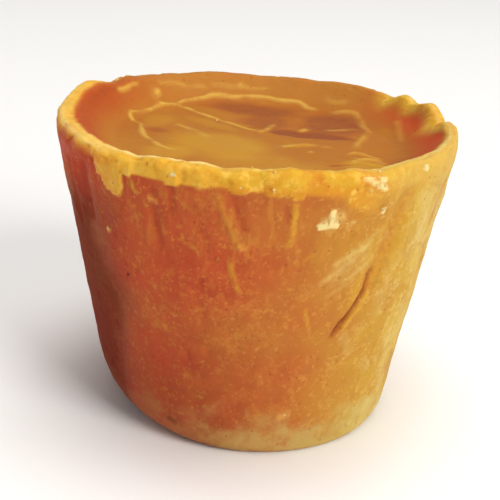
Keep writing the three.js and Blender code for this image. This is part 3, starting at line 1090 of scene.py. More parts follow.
class Graph:
    """A hand that adds and links the nodes of one tree."""

    def __init__(self, tree: Tree) -> None:
        """Takes an empty tree."""
        self.tree = tree

    def add(self, kind: str, inputs: dict[int | str, object] | None = None, **settings: object) -> Node:
        """Adds a node.

        Args:
            kind: The node's type name.
            inputs: Values or sockets for its inputs, by name or index.
            **settings: The node's own properties.

        Returns:
            The node.
        """
        node = self.tree.nodes.new(kind)
        for key, value in settings.items():
            setattr(node, key, value)
        for key, value in (inputs or {}).items():
            self.feed(node.inputs[key], value)
        return node

    def feed(self, socket: Socket, value: object) -> None:
        """Links a socket into an input, or sets the input's own value.

        Args:
            socket: The input.
            value: A socket, a plain value, or a display colour for a colour input.
        """
        if isinstance(value, Socket):
            self.tree.links.new(value, socket)
        elif socket.type == "RGBA" and len(value) == 3:
            socket.default_value = rgba(value)
        else:
            socket.default_value = value

    def math(self, operation: str, first: object, second: object, clamp: bool = False) -> Socket:
        """A Math node's result."""
        inputs = {0: first, 1: second}
        return self.add("ShaderNodeMath", inputs, operation=operation, use_clamp=clamp).outputs[0]

    def vector(self, operation: str, inputs: dict[int | str, object]) -> Socket:
        """A Vector Math node's result."""
        return self.add("ShaderNodeVectorMath", inputs, operation=operation).outputs[0]

    def times(self, first: object, second: object) -> Socket:
        """The product of two values."""
        return self.math("MULTIPLY", first, second)

    def plus(self, first: object, second: object) -> Socket:
        """The sum of two values."""
        return self.math("ADD", first, second)

    def linear(self, value: object, low: float, high: float, new_low: float = 0.0, new_high: float = 1.0,
               **settings: object) -> Socket:
        """A value moved evenly from one range to another, and held there."""
        inputs = {0: value, 1: low, 2: high, 3: new_low, 4: new_high}
        return self.add("ShaderNodeMapRange", inputs, **settings).outputs[0]

    def remap(self, value: object, low: float, high: float, new_low: float = 0.0,
              new_high: float = 1.0) -> Socket:
        """A value moved smoothly from one range to another, and held there."""
        return self.linear(value, low, high, new_low, new_high, interpolation_type="SMOOTHSTEP")

    def blend(self, share: object, under: object, over: object) -> Socket:
        """A colour between two colours."""
        inputs = {0: share, 6: under, 7: over}
        return self.add("ShaderNodeMix", inputs, data_type="RGBA", clamp_factor=True).outputs[2]

    def wash(self, under: object, name: str, over: object, strength: float = 1.0) -> Socket:
        """A colour laid over another where a mask of the mesh says."""
        share = self.mask(name) if strength == 1.0 else self.times(self.mask(name), strength)
        return self.blend(share, under, over)

    def noise(self, vector: object, scale: object, detail: float = 3.0, roughness: float = 0.55,
              distortion: float = 0.0) -> Socket:
        """A noise texture's value; scale is in lumps for each metre."""
        inputs = {"Vector": vector, "Scale": scale, "Detail": detail, "Roughness": roughness}
        return self.add("ShaderNodeTexNoise", inputs | {"Distortion": distortion}).outputs[0]

    def wander(self, vector: object, scale: object, reach: object, roughness: float = 0.5) -> Socket:
        """A fine random vector at each place.

        Args:
            vector: The place.
            scale: Lumps of the pattern for each metre.
            reach: Twice the largest move along each axis.
            roughness: How strong the finer layers are.

        Returns:
            The vector.
        """
        inputs = {"Vector": vector, "Scale": scale, "Detail": 2.0, "Roughness": roughness}
        colour = self.add("ShaderNodeTexNoise", inputs).outputs["Color"]
        centred = self.vector("SUBTRACT", {0: colour, 1: (0.5, 0.5, 0.5)})
        return self.vector("SCALE", {0: centred, "Scale": reach})

    def cells(self, vector: object, scale: object) -> tuple[Socket, Socket]:
        """The cells of a Voronoi pattern: a random number for each, and the distance from its middle."""
        cells = self.add("ShaderNodeTexVoronoi", {"Vector": vector, "Scale": scale}).outputs
        return self.add("ShaderNodeSeparateColor", {0: cells["Color"]}).outputs[0], cells["Distance"]

    def random(self, seed: object, low: float, high: float) -> Socket:
        """A random number for each point."""
        inputs = {"Seed": seed, 2: low, 3: high}
        return self.add("FunctionNodeRandomValue", inputs, data_type="FLOAT").outputs[1]

    def mask(self, name: str) -> Socket:
        """A mask that the mesh carries."""
        return self.add("ShaderNodeAttribute", attribute_name=name).outputs["Fac"]

    def carried(self, name: str, data_type: str = "FLOAT") -> Socket:
        """What each point of a geometry carries under a name."""
        return self.add("GeometryNodeInputNamedAttribute", {"Name": name}, data_type=data_type).outputs[0]


def rgba(colour: Colour) -> tuple[float, float, float, float]:
    """A display colour of 0 to 255 as the linear colour that sockets take."""
    linear = [(c / 255 / 12.92) if c <= 10 else (((c / 255) + 0.055) / 1.055) ** 2.4 for c in colour]
    return (linear[0], linear[1], linear[2], 1.0)


def new_group(name: str, kind: str, inputs: Iterable[tuple[str, str, object]],
              outputs: Iterable[tuple[str, str]]) -> tuple[Graph, Node, Node]:
    """Starts a node group with named inputs and outputs.

    Args:
        name: The group's name.
        kind: The tree's type name.
        inputs: Name, type of value and default of each input.
        outputs: Name and type of value of each output.

    Returns:
        The group's graph, its input node and its output node.
    """
    tree = bpy.data.node_groups.new(name, kind)
    for label, value_type, default in inputs:
        socket = tree.interface.new_socket(label, in_out="INPUT", socket_type="NodeSocket" + value_type)
        if default is not None:
            socket.default_value = default
    for label, value_type in outputs:
        tree.interface.new_socket(label, in_out="OUTPUT", socket_type="NodeSocket" + value_type)
    graph = Graph(tree)
    return graph, graph.add("NodeGroupInput"), graph.add("NodeGroupOutput")


# ---- Finishes ----------------------------------------------------------------------------------------


def make_sugar_grain_group() -> Tree:
    """The crystalline body of cast sugar: mottling in two sizes, a fine grain and small open pits.

    Returns:
        The node group.
    """
    graph, given, result = new_group(
        "SugarGrain", "ShaderNodeTree",
        (("Vector", "Vector", None), ("Mottle size", "Float", 0.006), ("Grain size", "Float", 0.0009),
         ("Pit share", "Float", 0.3)),
        (("Mottle", "Float"), ("Fleck", "Float"), ("Pit", "Float"), ("Height", "Float")),
    )
    vector, mottle_size, grain_size, pit_share = (given.outputs[index] for index in range(4))
    coarse = graph.math("DIVIDE", 1.0, mottle_size)
    mottle = graph.noise(vector, coarse, detail=5.0, roughness=0.62, distortion=0.15)
    fine = graph.noise(vector, graph.math("DIVIDE", 1.0, grain_size), roughness=0.6)
    wander = graph.wander(vector, graph.times(coarse, 4.0), graph.times(mottle_size, 0.4), 0.6)
    shifted = graph.vector("ADD", {0: vector, 1: wander})
    clusters = graph.noise(vector, graph.times(coarse, 0.8), roughness=0.6)
    blotches = graph.noise(shifted, graph.times(coarse, 2.8), roughness=0.62)
    blotches = graph.remap(graph.plus(blotches, graph.times(clusters, 0.5)), 0.78, 0.96)
    chance, distance = graph.cells(shifted, graph.times(coarse, 5.0))
    chosen = graph.remap(graph.plus(graph.times(chance, 0.4), graph.times(clusters, 0.8)), 0.66, 0.8)
    crystals = graph.times(chosen, graph.remap(distance, 0.7, 0.2))
    fleck = graph.math("MAXIMUM", blotches, graph.times(crystals, 0.9))
    chance, distance = graph.cells(vector, graph.times(coarse, 3.6))
    pit = graph.times(graph.remap(distance, 0.30, 0.12), graph.math("LESS_THAN", chance, pit_share))
    height = graph.plus(graph.times(fine, 0.35), graph.times(mottle, 0.9))
    height = graph.math("SUBTRACT", height, graph.times(pit, 0.55))
    for label, value in (("Mottle", mottle), ("Fleck", fleck), ("Pit", pit), ("Height", height)):
        graph.feed(result.inputs[label], value)
    return graph.tree


def make_bloom_group() -> Tree:
    """Pale sugar bloom: a mask broken into streaky patches and dust.

    Returns:
        The node group.
    """
    graph, given, result = new_group(
        "SugarBloom", "ShaderNodeTree",
        (("Vector", "Vector", None), ("Amount", "Float", 0.5), ("Patch size", "Float", 0.008)),
        (("Mask", "Float"),),
    )
    vector, amount, patch_size = (given.outputs[index] for index in range(3))
    scale = graph.math("DIVIDE", 1.0, patch_size)
    runs = {0: vector, "Scale": (1.0, 1.0, 0.6), "Rotation": (0.35, 0.2, 0.0)}
    stretched = graph.add("ShaderNodeMapping", runs).outputs[0]
    patches = graph.noise(stretched, scale, detail=6.0, roughness=0.66, distortion=0.5)
    dust = graph.noise(vector, graph.times(scale, 9.0), detail=2.0, roughness=0.7)
    mixed = graph.plus(graph.times(patches, 0.75), graph.times(dust, 0.25))
    over = graph.math("SUBTRACT", mixed, graph.math("SUBTRACT", 0.78, graph.times(amount, 0.56)))
    graph.feed(result.inputs["Mask"], graph.math("MULTIPLY", over, 5.0, clamp=True))
    return graph.tree


def new_material(name: str, constants: dict[str, object]) -> tuple[Material, Graph, Node]:
    """A material with one Principled shader.

    Args:
        name: The material's name.
        constants: Values of the shader's inputs, by name.

    Returns:
        The material, its graph and its shader.
    """
    material = bpy.data.materials.new(name)
    material.use_nodes = True
    material.node_tree.nodes.clear()
    graph = Graph(material.node_tree)
    shader = graph.add("ShaderNodeBsdfPrincipled", constants)
    graph.add("ShaderNodeOutputMaterial", {"Surface": shader.outputs[0]})
    return material, graph, shader


def roughen_shader(graph: Graph, shader: Node, strength: float, depth: float, height: Socket) -> None:
    """Gives a shader a bumpy normal, with the depth in metres."""
    bumps = graph.add("ShaderNodeBump", {"Strength": strength, "Distance": depth, "Height": height})
    graph.feed(shader.inputs["Normal"], bumps.outputs[0])


@dataclass(frozen=True)
class Ground:
    """What every colour of the block is worked out from."""

    graph: Graph
    place: Socket
    mottle: Socket
    fleck: Socket
    cloud: Socket
    bloom_group: Tree

    def bloom(self, patch_size: float, amount: Socket) -> Socket:
        """Pale sugar bloom, with patches of a size in metres."""
        inputs = {"Vector": self.place, "Patch size": patch_size, "Amount": amount}
        return self.graph.add("ShaderNodeGroup", inputs, node_tree=self.bloom_group).outputs[0]


@dataclass(frozen=True)
class JaggeryFinish:
    """Cast jaggery: waxy and a little translucent, orange to honey, with a yellow rim and glossier skin."""

    deep: Colour = (184, 81, 46)
    deep_dark: Colour = (166, 64, 38)
    deep_red: Colour = (185, 63, 40)
    deep_shade: Colour = (84, 22, 14)
    middle: Colour = (177, 112, 45)
    honey: Colour = (192, 152, 53)
    honey_dark: Colour = (178, 131, 38)
    olive: Colour = (184, 142, 42)
    foot: Colour = (186, 163, 94)
    band: Colour = (202, 155, 44)
    band_low: Colour = (200, 130, 37)
    band_painted_light: Colour = (223, 171, 58)
    band_right: Colour = (197, 162, 76)
    band_light: Colour = (224, 182, 80)
    blush: Colour = (220, 104, 44)
    painted_highlight: Colour = (238, 212, 140)
    crease: Colour = (124, 46, 27)
    rust: Colour = (160, 58, 36)
    speck: Colour = (60, 25, 12)
    pale: Colour = (207, 182, 108)
    pale_warm: Colour = (226, 158, 74)
    chalk: Colour = (224, 202, 138)
    fleck: Colour = (198, 131, 50)
    fleck_pale: Colour = (208, 178, 95)
    skin_tan: Colour = (189, 136, 37)
    skin_brown: Colour = (166, 94, 31)
    skin_dark: Colour = (142, 74, 36)
    wrinkle: Colour = (205, 162, 69)
    inner_left: Colour = (168, 76, 32)
    inner_right_glow: Colour = (190, 78, 36)
    inner_back: Colour = (174, 112, 42)

    def build(self, grain_group: Tree, bloom_group: Tree) -> Material:
        """Makes the material.

        Args:
            grain_group: The sugar's crystalline body.
            bloom_group: The pale bloom.

        Returns:
            The material.
        """
        material, graph, shader = new_material("cast_jaggery", {
            "IOR": 1.5, "Specular IOR Level": 0.22, "Specular Tint": (1.0, 0.72, 0.4, 1.0),
            "Subsurface Weight": 0.28, "Subsurface Radius": (1.0, 0.38, 0.12), "Subsurface Scale": 0.006,
        })
        place = graph.add("ShaderNodeTexCoord").outputs["Object"]
        inputs = {"Vector": place, "Mottle size": 0.007, "Grain size": 0.0009, "Pit share": 0.15}
        body = graph.add("ShaderNodeGroup", inputs, node_tree=grain_group).outputs
        mottle, cloud = body["Mottle"], graph.noise(place, 38.0, roughness=0.5)
        ground = Ground(graph, place, mottle, body["Fleck"], cloud, bloom_group)

        colour = self.marked_colour(ground, self.wall_colour(ground))
        colour = graph.wash(colour, "band", self.band_colour(ground))
        # Painted highlight: a pale cream line along the rim's crest.
        painted_highlight = graph.times(graph.mask("edge"), graph.remap(mottle, 0.3, 0.6, 0.45, 1.0))
        colour = graph.blend(painted_highlight, colour, self.painted_highlight)
        flaked = graph.times(graph.mask("chalk"), graph.remap(mottle, 0.25, 0.5, 0.4, 1.0))
        colour = graph.blend(graph.remap(flaked, 0.1, 0.7), colour, self.chalk)
        colour = graph.wash(colour, "top", self.top_colour(ground))
        skin = graph.mask("skin")
        # Painted shade: the pits darkened, less on the skin.
        pitted = graph.times(body["Pit"], graph.linear(skin, 0.0, 1.0, 0.35, 0.08))
        colour = graph.blend(pitted, colour, self.deep_dark)
        graph.feed(shader.inputs["Base Color"], graph.wash(colour, "speck", self.speck))

        gloss = graph.remap(mottle, 0.3, 0.7, 0.58, 0.72)
        skin_gloss = graph.remap(mottle, 0.3, 0.7, 0.46, 0.60)
        rough = graph.add("ShaderNodeMix", {0: skin, 2: gloss, 3: skin_gloss}, data_type="FLOAT").outputs[0]
        dull = graph.linear(graph.mask("stain_and_shadow"), 0.0, 1.0, 0.0, 0.95)
        graph.feed(shader.inputs["Roughness"], graph.math("MAXIMUM", rough, dull))
        height = graph.times(body["Height"], graph.remap(skin, 0.0, 1.0, 1.0, 0.35))
        roughen_shader(graph, shader, 0.55, 0.0007, height)
        return material

    def wall_colour(self, ground: Ground) -> Socket:
        """The wall: deep orange that blooms to honey, with flecks, faint runs and dust, a painted shadow on
        the left side and painted shade towards the foot.

        Args:
            ground: What the colour is worked out from.

        Returns:
            The colour.
        """
        graph, place, mottle = ground.graph, ground.place, ground.mottle
        honey, shade = graph.mask("honey"), graph.remap(mottle, 0.32, 0.68)
        deep = graph.wash(graph.blend(shade, self.deep_dark, self.deep), "red", self.deep_red, 0.85)
        bright = graph.blend(shade, self.honey_dark, self.honey)
        patchy = graph.plus(honey, graph.times(graph.math("SUBTRACT", ground.cloud, 0.5), 0.3))
        colour = graph.blend(graph.linear(patchy, 0.0, 0.35), deep, self.middle)
        colour = graph.blend(graph.linear(patchy, 0.25, 0.95), colour, bright)
        fleck_colour = graph.blend(honey, self.fleck, self.fleck_pale)
        flecks = graph.times(ground.fleck, graph.linear(honey, 0.1, 0.7, 0.28, 0.66))
        colour = graph.blend(flecks, colour, fleck_colour)
        beads = graph.remap(graph.noise(place, 620.0, detail=1.5), 0.6, 0.7, 0.0, 0.42)
        colour = graph.blend(beads, colour, fleck_colour)
        tall = graph.vector("MULTIPLY", {0: place, 1: (1.0, 1.0, 0.28)})
        runs = graph.remap(graph.noise(tall, 330.0, roughness=0.6), 0.52, 0.68)
        colour = graph.blend(graph.times(runs, graph.times(graph.mask("streak"), 0.42)), colour, self.fleck)
        # Painted shadow on the left side, in the dark shade colour.
        colour = graph.wash(colour, "stain_and_shadow", self.deep_shade, 0.76)
        # Painted shade towards the foot, in the dark shade colour.
        colour = graph.wash(colour, "low", self.deep_shade, 0.30)
        foot = graph.times(graph.mask("foot"), graph.remap(mottle, 0.3, 0.6, 0.25, 0.8))
        colour = graph.blend(foot, colour, self.foot)
        amount = graph.plus(graph.linear(honey, 0.3, 1.0, 0.05, 0.68), graph.times(foot, 0.2))
        colour = graph.blend(graph.times(ground.bloom(0.008, amount), 0.72), colour, self.pale)
        olive = graph.remap(graph.noise(place, 95.0, detail=4.0, roughness=0.6), 0.5, 0.66)
        olive = graph.times(olive, graph.linear(honey, 0.35, 0.8, 0.0, 0.6))
        return graph.blend(olive, colour, self.olive)

    def marked_colour(self, ground: Ground, under: Socket) -> Socket:
        """The wall's marks: painted reddish shade in the grooves, ragged yellow runs, one of them a painted
        highlight on the long fold's lit side, pale scuffs, and painted shade darkening the cracks.

        Args:
            ground: What the colour is worked out from.
            under: The wall's colour.

        Returns:
            The colour.
        """
        graph = ground.graph
        pale = graph.mask("pale")
        # Painted shade in the grooves, reddish brown.
        colour = graph.wash(under, "rust", self.rust, 0.8)
        ragged = graph.remap(graph.noise(ground.place, 420.0), 0.36, 0.6, 0.3, 1.0)
        colour = graph.blend(graph.times(graph.mask("yellow"), ragged), colour, self.band)
        pale_here = graph.blend(graph.linear(graph.mask("honey"), 0.1, 0.45), self.pale_warm, self.pale)
        half = graph.times(pale, 0.5)
        colour = graph.blend(half, colour, pale_here)
        colour = graph.blend(graph.times(ground.bloom(0.003, pale), half), colour, pale_here)
        # Painted shade darkening the cracks.
        crease = graph.times(graph.mask("crease"), graph.remap(ground.mottle, 0.2, 0.7, 0.7, 1.0))
        return graph.blend(crease, colour, self.crease)

    def band_colour(self, ground: Ground) -> Socket:
        """The crumbly yellow rim: lighter along its crown, lighter on the left and behind by painted light
        where less light falls, clear pale yellow on the right.

        Args:
            ground: What the colour is worked out from.

        Returns:
            The colour.
        """
        graph = ground.graph
        crown = graph.times(graph.plus(graph.mask("crown"), 0.35), graph.remap(ground.mottle, 0.3, 0.56))
        colour = graph.blend(crown, self.band_low, self.band)
        # Painted light: the band lighter on the left and behind, where less light falls on it.
        colour = graph.wash(colour, "west", self.band_painted_light, 0.8)
        colour = graph.wash(colour, "blush", self.blush, 0.75)
        colour = graph.wash(colour, "behind", self.band_painted_light, 0.6)
        rightward = graph.times(graph.linear(graph.mask("honey"), 0.4, 0.85), graph.mask("near"))
        patch = graph.noise(ground.place, 260.0, detail=4.0, roughness=0.68)
        lower = graph.times(graph.remap(patch, 0.5, 0.36, 0.0, 0.38), graph.math("SUBTRACT", 1.0, rightward))
        colour = graph.blend(lower, colour, self.band_low)
        colour = graph.blend(graph.remap(patch, 0.53, 0.68, 0.0, 0.8), colour, self.band_light)
        colour = graph.blend(graph.times(ground.fleck, 0.5), colour, self.band_light)
        return graph.blend(graph.times(rightward, 0.8), colour, self.band_right)

    def top_colour(self, ground: Ground) -> Socket:
        """The sunken top: red-orange walls, the right one with a painted glow, round a tan to brown skin
        with pale wrinkles, painted sheen and painted shade.

        Args:
            ground: What the colour is worked out from.

        Returns:
            The colour.
        """
        graph, mottle = ground.graph, ground.mottle
        # The skin's tan value: partly real tone, partly painted sheen and painted shade.
        warm = graph.plus(graph.mask("tan"), graph.times(graph.math("SUBTRACT", ground.cloud, 0.5), 0.6))
        skin = graph.blend(graph.linear(warm, -0.2, 0.8), self.skin_brown, self.skin_tan)
        skin = graph.blend(graph.linear(warm, -0.2, -0.8), skin, self.skin_dark)
        skin = graph.blend(graph.remap(mottle, 0.55, 0.8, 0.0, 0.2), skin, self.band)
        # Painted glow on the right inner wall of the rim, as if light came through it.
        bowl = graph.wash(self.inner_left, "glow", self.inner_right_glow)
        bowl = graph.wash(bowl, "behind", self.inner_back)
        colour = graph.wash(bowl, "skin", skin)
        wrinkles = graph.times(graph.mask("line"), graph.remap(mottle, 0.34, 0.56, 0.25, 1.0))
        return graph.blend(wrinkles, colour, self.wrinkle)


@dataclass(frozen=True)
class CrumbFinish:
    """Pale crystal crumbs: matt sugar, from cream to yellow."""

    name: str
    light: Colour
    dark: Colour

    def build(self, grain_group: Tree) -> Material:
        """Makes the material.

        Args:
            grain_group: The sugar's crystalline body.

        Returns:
            The material.
        """
        material, graph, shader = new_material(self.name, {
            "Subsurface Weight": 0.2, "Subsurface Radius": (1.0, 0.7, 0.4), "Subsurface Scale": 0.001,
        })
        place = graph.add("ShaderNodeTexCoord").outputs["Object"]
        inputs = {"Vector": place, "Mottle size": 0.003, "Grain size": 0.0004, "Pit share": 0.1}
        body = graph.add("ShaderNodeGroup", inputs, node_tree=grain_group).outputs
        shade = graph.remap(body["Mottle"], 0.35, 0.65)
        graph.feed(shader.inputs["Base Color"], graph.blend(shade, self.dark, self.light))
        graph.feed(shader.inputs["Roughness"], graph.remap(body["Fleck"], 0.0, 1.0, 0.55, 0.42))
        roughen_shader(graph, shader, 0.6, 0.0003, body["Height"])
        return material


# ---- Crumbs and scabs, by Geometry Nodes -------------------------------------------------------------


class CrumbKind(Enum):
    """The kinds of loose sugar that stick to the block."""

    CRUMBS = "sugar_crumbs"
    DUST = "sugar_dust"
    SCABS = "sugar_scabs"


def add_crumb_shape(graph: Graph, given: Node, points: Socket, rotation: Socket, size: Socket,
                    faces: int) -> Socket:
    """Puts an uneven lump at each point and makes the result plain mesh with its material.

    Args:
        graph: The tree to wire.
        given: The tree's input node.
        points: Where the lumps go.
        rotation: Which way each lump stands.
        size: Half the length of each lump.
        faces: Subdivisions of the lump.

    Returns:
        The finished geometry.
    """
    seed = given.outputs["Seed"]
    lump = graph.add("GeometryNodeMeshIcoSphere", {"Radius": 1.0, "Subdivisions": faces}).outputs["Mesh"]
    shapes = {0: (0.75, 0.6, 0.4), 1: (1.3, 1.0, 0.7), "Seed": seed}
    stretch = graph.add("FunctionNodeRandomValue", shapes, data_type="FLOAT_VECTOR").outputs[0]
    scale = graph.vector("SCALE", {0: stretch, "Scale": size})
    turn = graph.add("ShaderNodeCombineXYZ", {2: graph.random(seed, 0.0, 2 * math.pi)}).outputs[0]
    turned = graph.add("FunctionNodeRotateRotation", {0: rotation, 1: turn}, rotation_space="LOCAL")
    inputs = {"Points": points, "Instance": lump, "Rotation": turned.outputs[0], "Scale": scale}
    placed = graph.add("GeometryNodeInstanceOnPoints", inputs).outputs[0]
    inputs = {"Geometry": placed, "Name": "lump_size", "Value": size}
    kept = graph.add("GeometryNodeStoreNamedAttribute", inputs, data_type="FLOAT", domain="INSTANCE")
    real = graph.add("GeometryNodeRealizeInstances", {0: kept.outputs[0]}).outputs[0]
    where = graph.add("GeometryNodeInputPosition").outputs[0]
    amount = graph.times(graph.carried("lump_size"), given.outputs["Unevenness"])
    inputs = {"Geometry": real, "Offset": graph.wander(where, 1100.0, amount)}
    moved = graph.add("GeometryNodeSetPosition", inputs).outputs[0]
    inputs = {"Geometry": moved, "Material": given.outputs["Material"]}
    return graph.add("GeometryNodeSetMaterial", inputs).outputs[0]


# Name, type of value and default of the inputs that every crumb tree has
COMMON_INPUTS = (
    ("Geometry", "Geometry", None), ("Seed", "Int", 1), ("Unevenness", "Float", 1.0),
    ("Material", "Material", None),
)
GEOMETRY_OUT = (("Geometry", "Geometry"),)


def make_scatter_tree(name: str, faces: int) -> Tree:
    """Scatters lumps over a surface, as thick as its crumb_place attribute says.

    Args:
        name: The tree's name.
        faces: Subdivisions of a lump.

    Returns:
        The tree.
    """
    extra = (("Density", "Float", 1000.0), ("Smallest", "Float", 0.0003), ("Largest", "Float", 0.001))
    graph, given, result = new_group(name, "GeometryNodeTree", COMMON_INPUTS + extra, GEOMETRY_OUT)
    mesh, seed, smallest = (given.outputs[label] for label in ("Geometry", "Seed", "Smallest"))
    density = graph.times(graph.carried("crumb_place"), given.outputs["Density"])
    inputs = {"Mesh": mesh, "Seed": seed, "Density": density}
    spread = graph.add("GeometryNodeDistributePointsOnFaces", inputs, distribute_method="RANDOM").outputs
    mostly_small = graph.math("POWER", graph.random(seed, 0.0, 1.0), 2.5)
    span = graph.math("SUBTRACT", given.outputs["Largest"], smallest)
    size = graph.plus(smallest, graph.times(mostly_small, span))
    done = add_crumb_shape(graph, given, spread["Points"], spread["Rotation"], size, faces)
    graph.feed(result.inputs["Geometry"], done)
    return graph.tree


def make_placed_tree(name: str, faces: int) -> Tree:
    """Puts lumps at given points, each with the size and the facing that the point carries.

    Args:
        name: The tree's name.
        faces: Subdivisions of a lump.

    Returns:
        The tree.
    """
    graph, given, result = new_group(name, "GeometryNodeTree", COMMON_INPUTS, GEOMETRY_OUT)
    points = graph.add("GeometryNodeMeshToPoints", {"Mesh": given.outputs["Geometry"]}).outputs[0]
    facing = graph.carried("scab_facing", "FLOAT_VECTOR")
    stand = graph.add("FunctionNodeAlignRotationToVector", {"Vector": facing}, axis="Z").outputs[0]
    done = add_crumb_shape(graph, given, points, stand, graph.carried("scab_size"), faces)
    graph.feed(result.inputs["Geometry"], done)
    return graph.tree


def run_tree(name: str, mesh: Mesh, tree: Tree, values: dict[str, object]) -> bpy.types.Object:
    """Runs a Geometry Nodes tree over a mesh and keeps the result as a plain mesh.

    Args:
        name: The piece's name.
        mesh: What the tree works on.
        tree: The tree.
        values: The tree's inputs, by name.

    Returns:
        The piece.
    """
    host = bpy.data.objects.new(name + "_host", mesh)
    bpy.context.scene.collection.objects.link(host)
    modifier = host.modifiers.new("build", "NODES")
    modifier.node_group = tree
    for item in tree.interface.items_tree:
        if item.in_out == "INPUT" and item.name in values:
            modifier[item.identifier] = values[item.name]
    host.update_tag()
    graph = bpy.context.evaluated_depsgraph_get()
    made = bpy.data.meshes.new_from_object(host.evaluated_get(graph), depsgraph=graph)
    host.modifiers.remove(modifier)
    bpy.data.objects.remove(host)
    made.name = name
    piece = bpy.data.objects.new(name, made)
    bpy.context.scene.collection.objects.link(piece)
    return piece


@dataclass(frozen=True)
class Layer:
    """A kind of scattered sugar: pieces for each square metre, and half lengths in millimetres."""

    kind: CrumbKind
    faces: int
    density: float
    smallest: float
    largest: float
    unevenness: float


@dataclass
class StuckSugar:
    """Crumbs, dust and scabs of pale sugar on the block, with sizes in millimetres."""

    layers: tuple[Layer, ...] = (
        Layer(CrumbKind.CRUMBS, 2, 9000.0, 0.22, 0.85, 1.1),
        Layer(CrumbKind.DUST, 1, 42000.0, 0.09, 0.24, 0.9),
    )
    scabs: tuple[tuple[float, float, float, int], ...] = (  # azimuth, height, spread, how many
        (20.4, 81.0, 0.9, 9), (26.5, 79.6, 0.8, 2), (36.0, 83.0, 0.4, 4), (50.2, 92.6, 0.4, 4),
        (33, 90.6, 1.8, 9), (-3, 90.2, 0.3, 2), (5, 90.1, 0.3, 2), (-43, 69.6, 0.5, 3), (13.6, 15.0, 0.6, 2),
        (-20, 92.0, 0.4, 3), (-124, 95.5, 0.35, 4), (-130, 95.5, 0.35, 3), (118, 88, 1.4, 7),
        (151, 72, 1.2, 6), (-162, 84, 1.6, 8), (-118, 61, 0.8, 4), (84, 79, 1.2, 6), (-141, 90.5, 1.0, 6),
    )
    scab_smallest: float = 0.25
    scab_largest: float = 0.7
    scab_faces: int = 3
    scab_unevenness: float = 1.3
    sunk: float = 0.12
    seed: int = 5

    def host_mesh(self, block: Mesh) -> Mesh:
        """A copy of the block's mesh that says where crumbs may stick.

        Args:
            block: The block's mesh.

        Returns:
            The copy, with the attribute crumb_place.
        """
        mesh = block.copy()
        places = np.zeros(len(mesh.vertices) * 3, np.float32)
        mesh.vertices.foreach_get("co", places)
        places = places.reshape(-1, 3) / MM
        band, skin, honey = (read_mask(mesh, name) for name in ("band", "skin", "honey"))
        clumps = np.clip(grain(places, 9.0, 2, 40.0) * 2.2 - 0.15, 0.0, 1.0)
        foot = smooth(2.0, 6.0, places[:, 2])
        sticky = (0.9 * band + 0.35 * honey + 0.05) * (1.0 - 0.93 * skin)
        write_mask(mesh, "crumb_place", foot * clumps * sticky)
        return mesh

    def scab_points(self, block: CastBlock, places: Array) -> Mesh:
        """Loose points for the scabs, each with its size and the way it faces.

        Args:
            block: The block, for its meridians.
            places: The block's grid, in metres.

        Returns:
            A mesh of points.
        """
        draw = np.random.default_rng(self.seed)
        normals = grid_normals(places)
        spots, sizes, facings = [], [], []
        first = block.base_rows + block.corner_rows
        last = first + block.wall_rows + block.crest_step
        for azimuth, height, spread, count in self.scabs:
            for _ in range(count):
                turn = azimuth + draw.normal(0, spread)
                column = int(np.argmin(np.abs(turn_between(turn, block.azimuth))))
                level = (height + draw.normal(0, 0.8 * spread)) * MM
                row = first + int(np.argmin(np.abs(places[first:last, column, 2] - level)))
                spots.append(places[row, column] - self.sunk * MM * normals[row, column])
                sizes.append(draw.uniform(self.scab_smallest, self.scab_largest) * MM)
                facings.append(normals[row, column])
        mesh = bpy.data.meshes.new("scab_points")
        mesh.from_pydata([tuple(spot) for spot in spots], [], [])
        write_mask(mesh, "scab_size", np.array(sizes))
        facing = mesh.attributes.new("scab_facing", "FLOAT_VECTOR", "POINT")
        facing.data.foreach_set("vector", np.array(facings, np.float32).ravel())
        return mesh

    def build(self, block: CastBlock, block_mesh: Mesh, places: Array,
              light: Material, yellow: Material) -> list[bpy.types.Object]:
        """Makes the crumbs, the dust and the scabs.

        Args:
            block: The block.
            block_mesh: The block's mesh.
            places: The block's grid, in metres.
            light: The cream finish.
            yellow: The yellower finish.

        Returns:
            The three pieces.
        """
        host = self.host_mesh(block_mesh)
        pieces = []
        for index, layer in enumerate(self.layers):
            tree = make_scatter_tree(f"Scatter_{layer.kind.value}", layer.faces)
            pieces.append(run_tree(layer.kind.value, host, tree, {
                "Density": layer.density, "Smallest": layer.smallest * MM, "Largest": layer.largest * MM,
                "Seed": self.seed + index, "Unevenness": layer.unevenness, "Material": yellow,
            }))
        tree = make_placed_tree("PlaceScabs", self.scab_faces)
        pieces.append(run_tree(CrumbKind.SCABS.value, self.scab_points(block, places), tree, {
            "Seed": self.seed + len(self.layers), "Unevenness": self.scab_unevenness, "Material": light,
        }))
        return pieces


def read_mask(mesh: Mesh, name: str) -> Array:
    """Reads a point attribute as an array.

    Args:
        mesh: The mesh that carries it.
        name: The attribute's name.

    Returns:
        One value for each vertex.
    """
    values = np.zeros(len(mesh.vertices), np.float32)
    mesh.attributes[name].data.foreach_get("value", values)
    return values.astype(float)


def write_mask(mesh: Mesh, name: str, values: Array) -> None:
    """Stores one value for each vertex as a point attribute."""
    mesh.attributes.new(name, "FLOAT", "POINT").data.foreach_set("value", values.astype(np.float32))


# ---- Studio ------------------------------------------------------------------------------------------


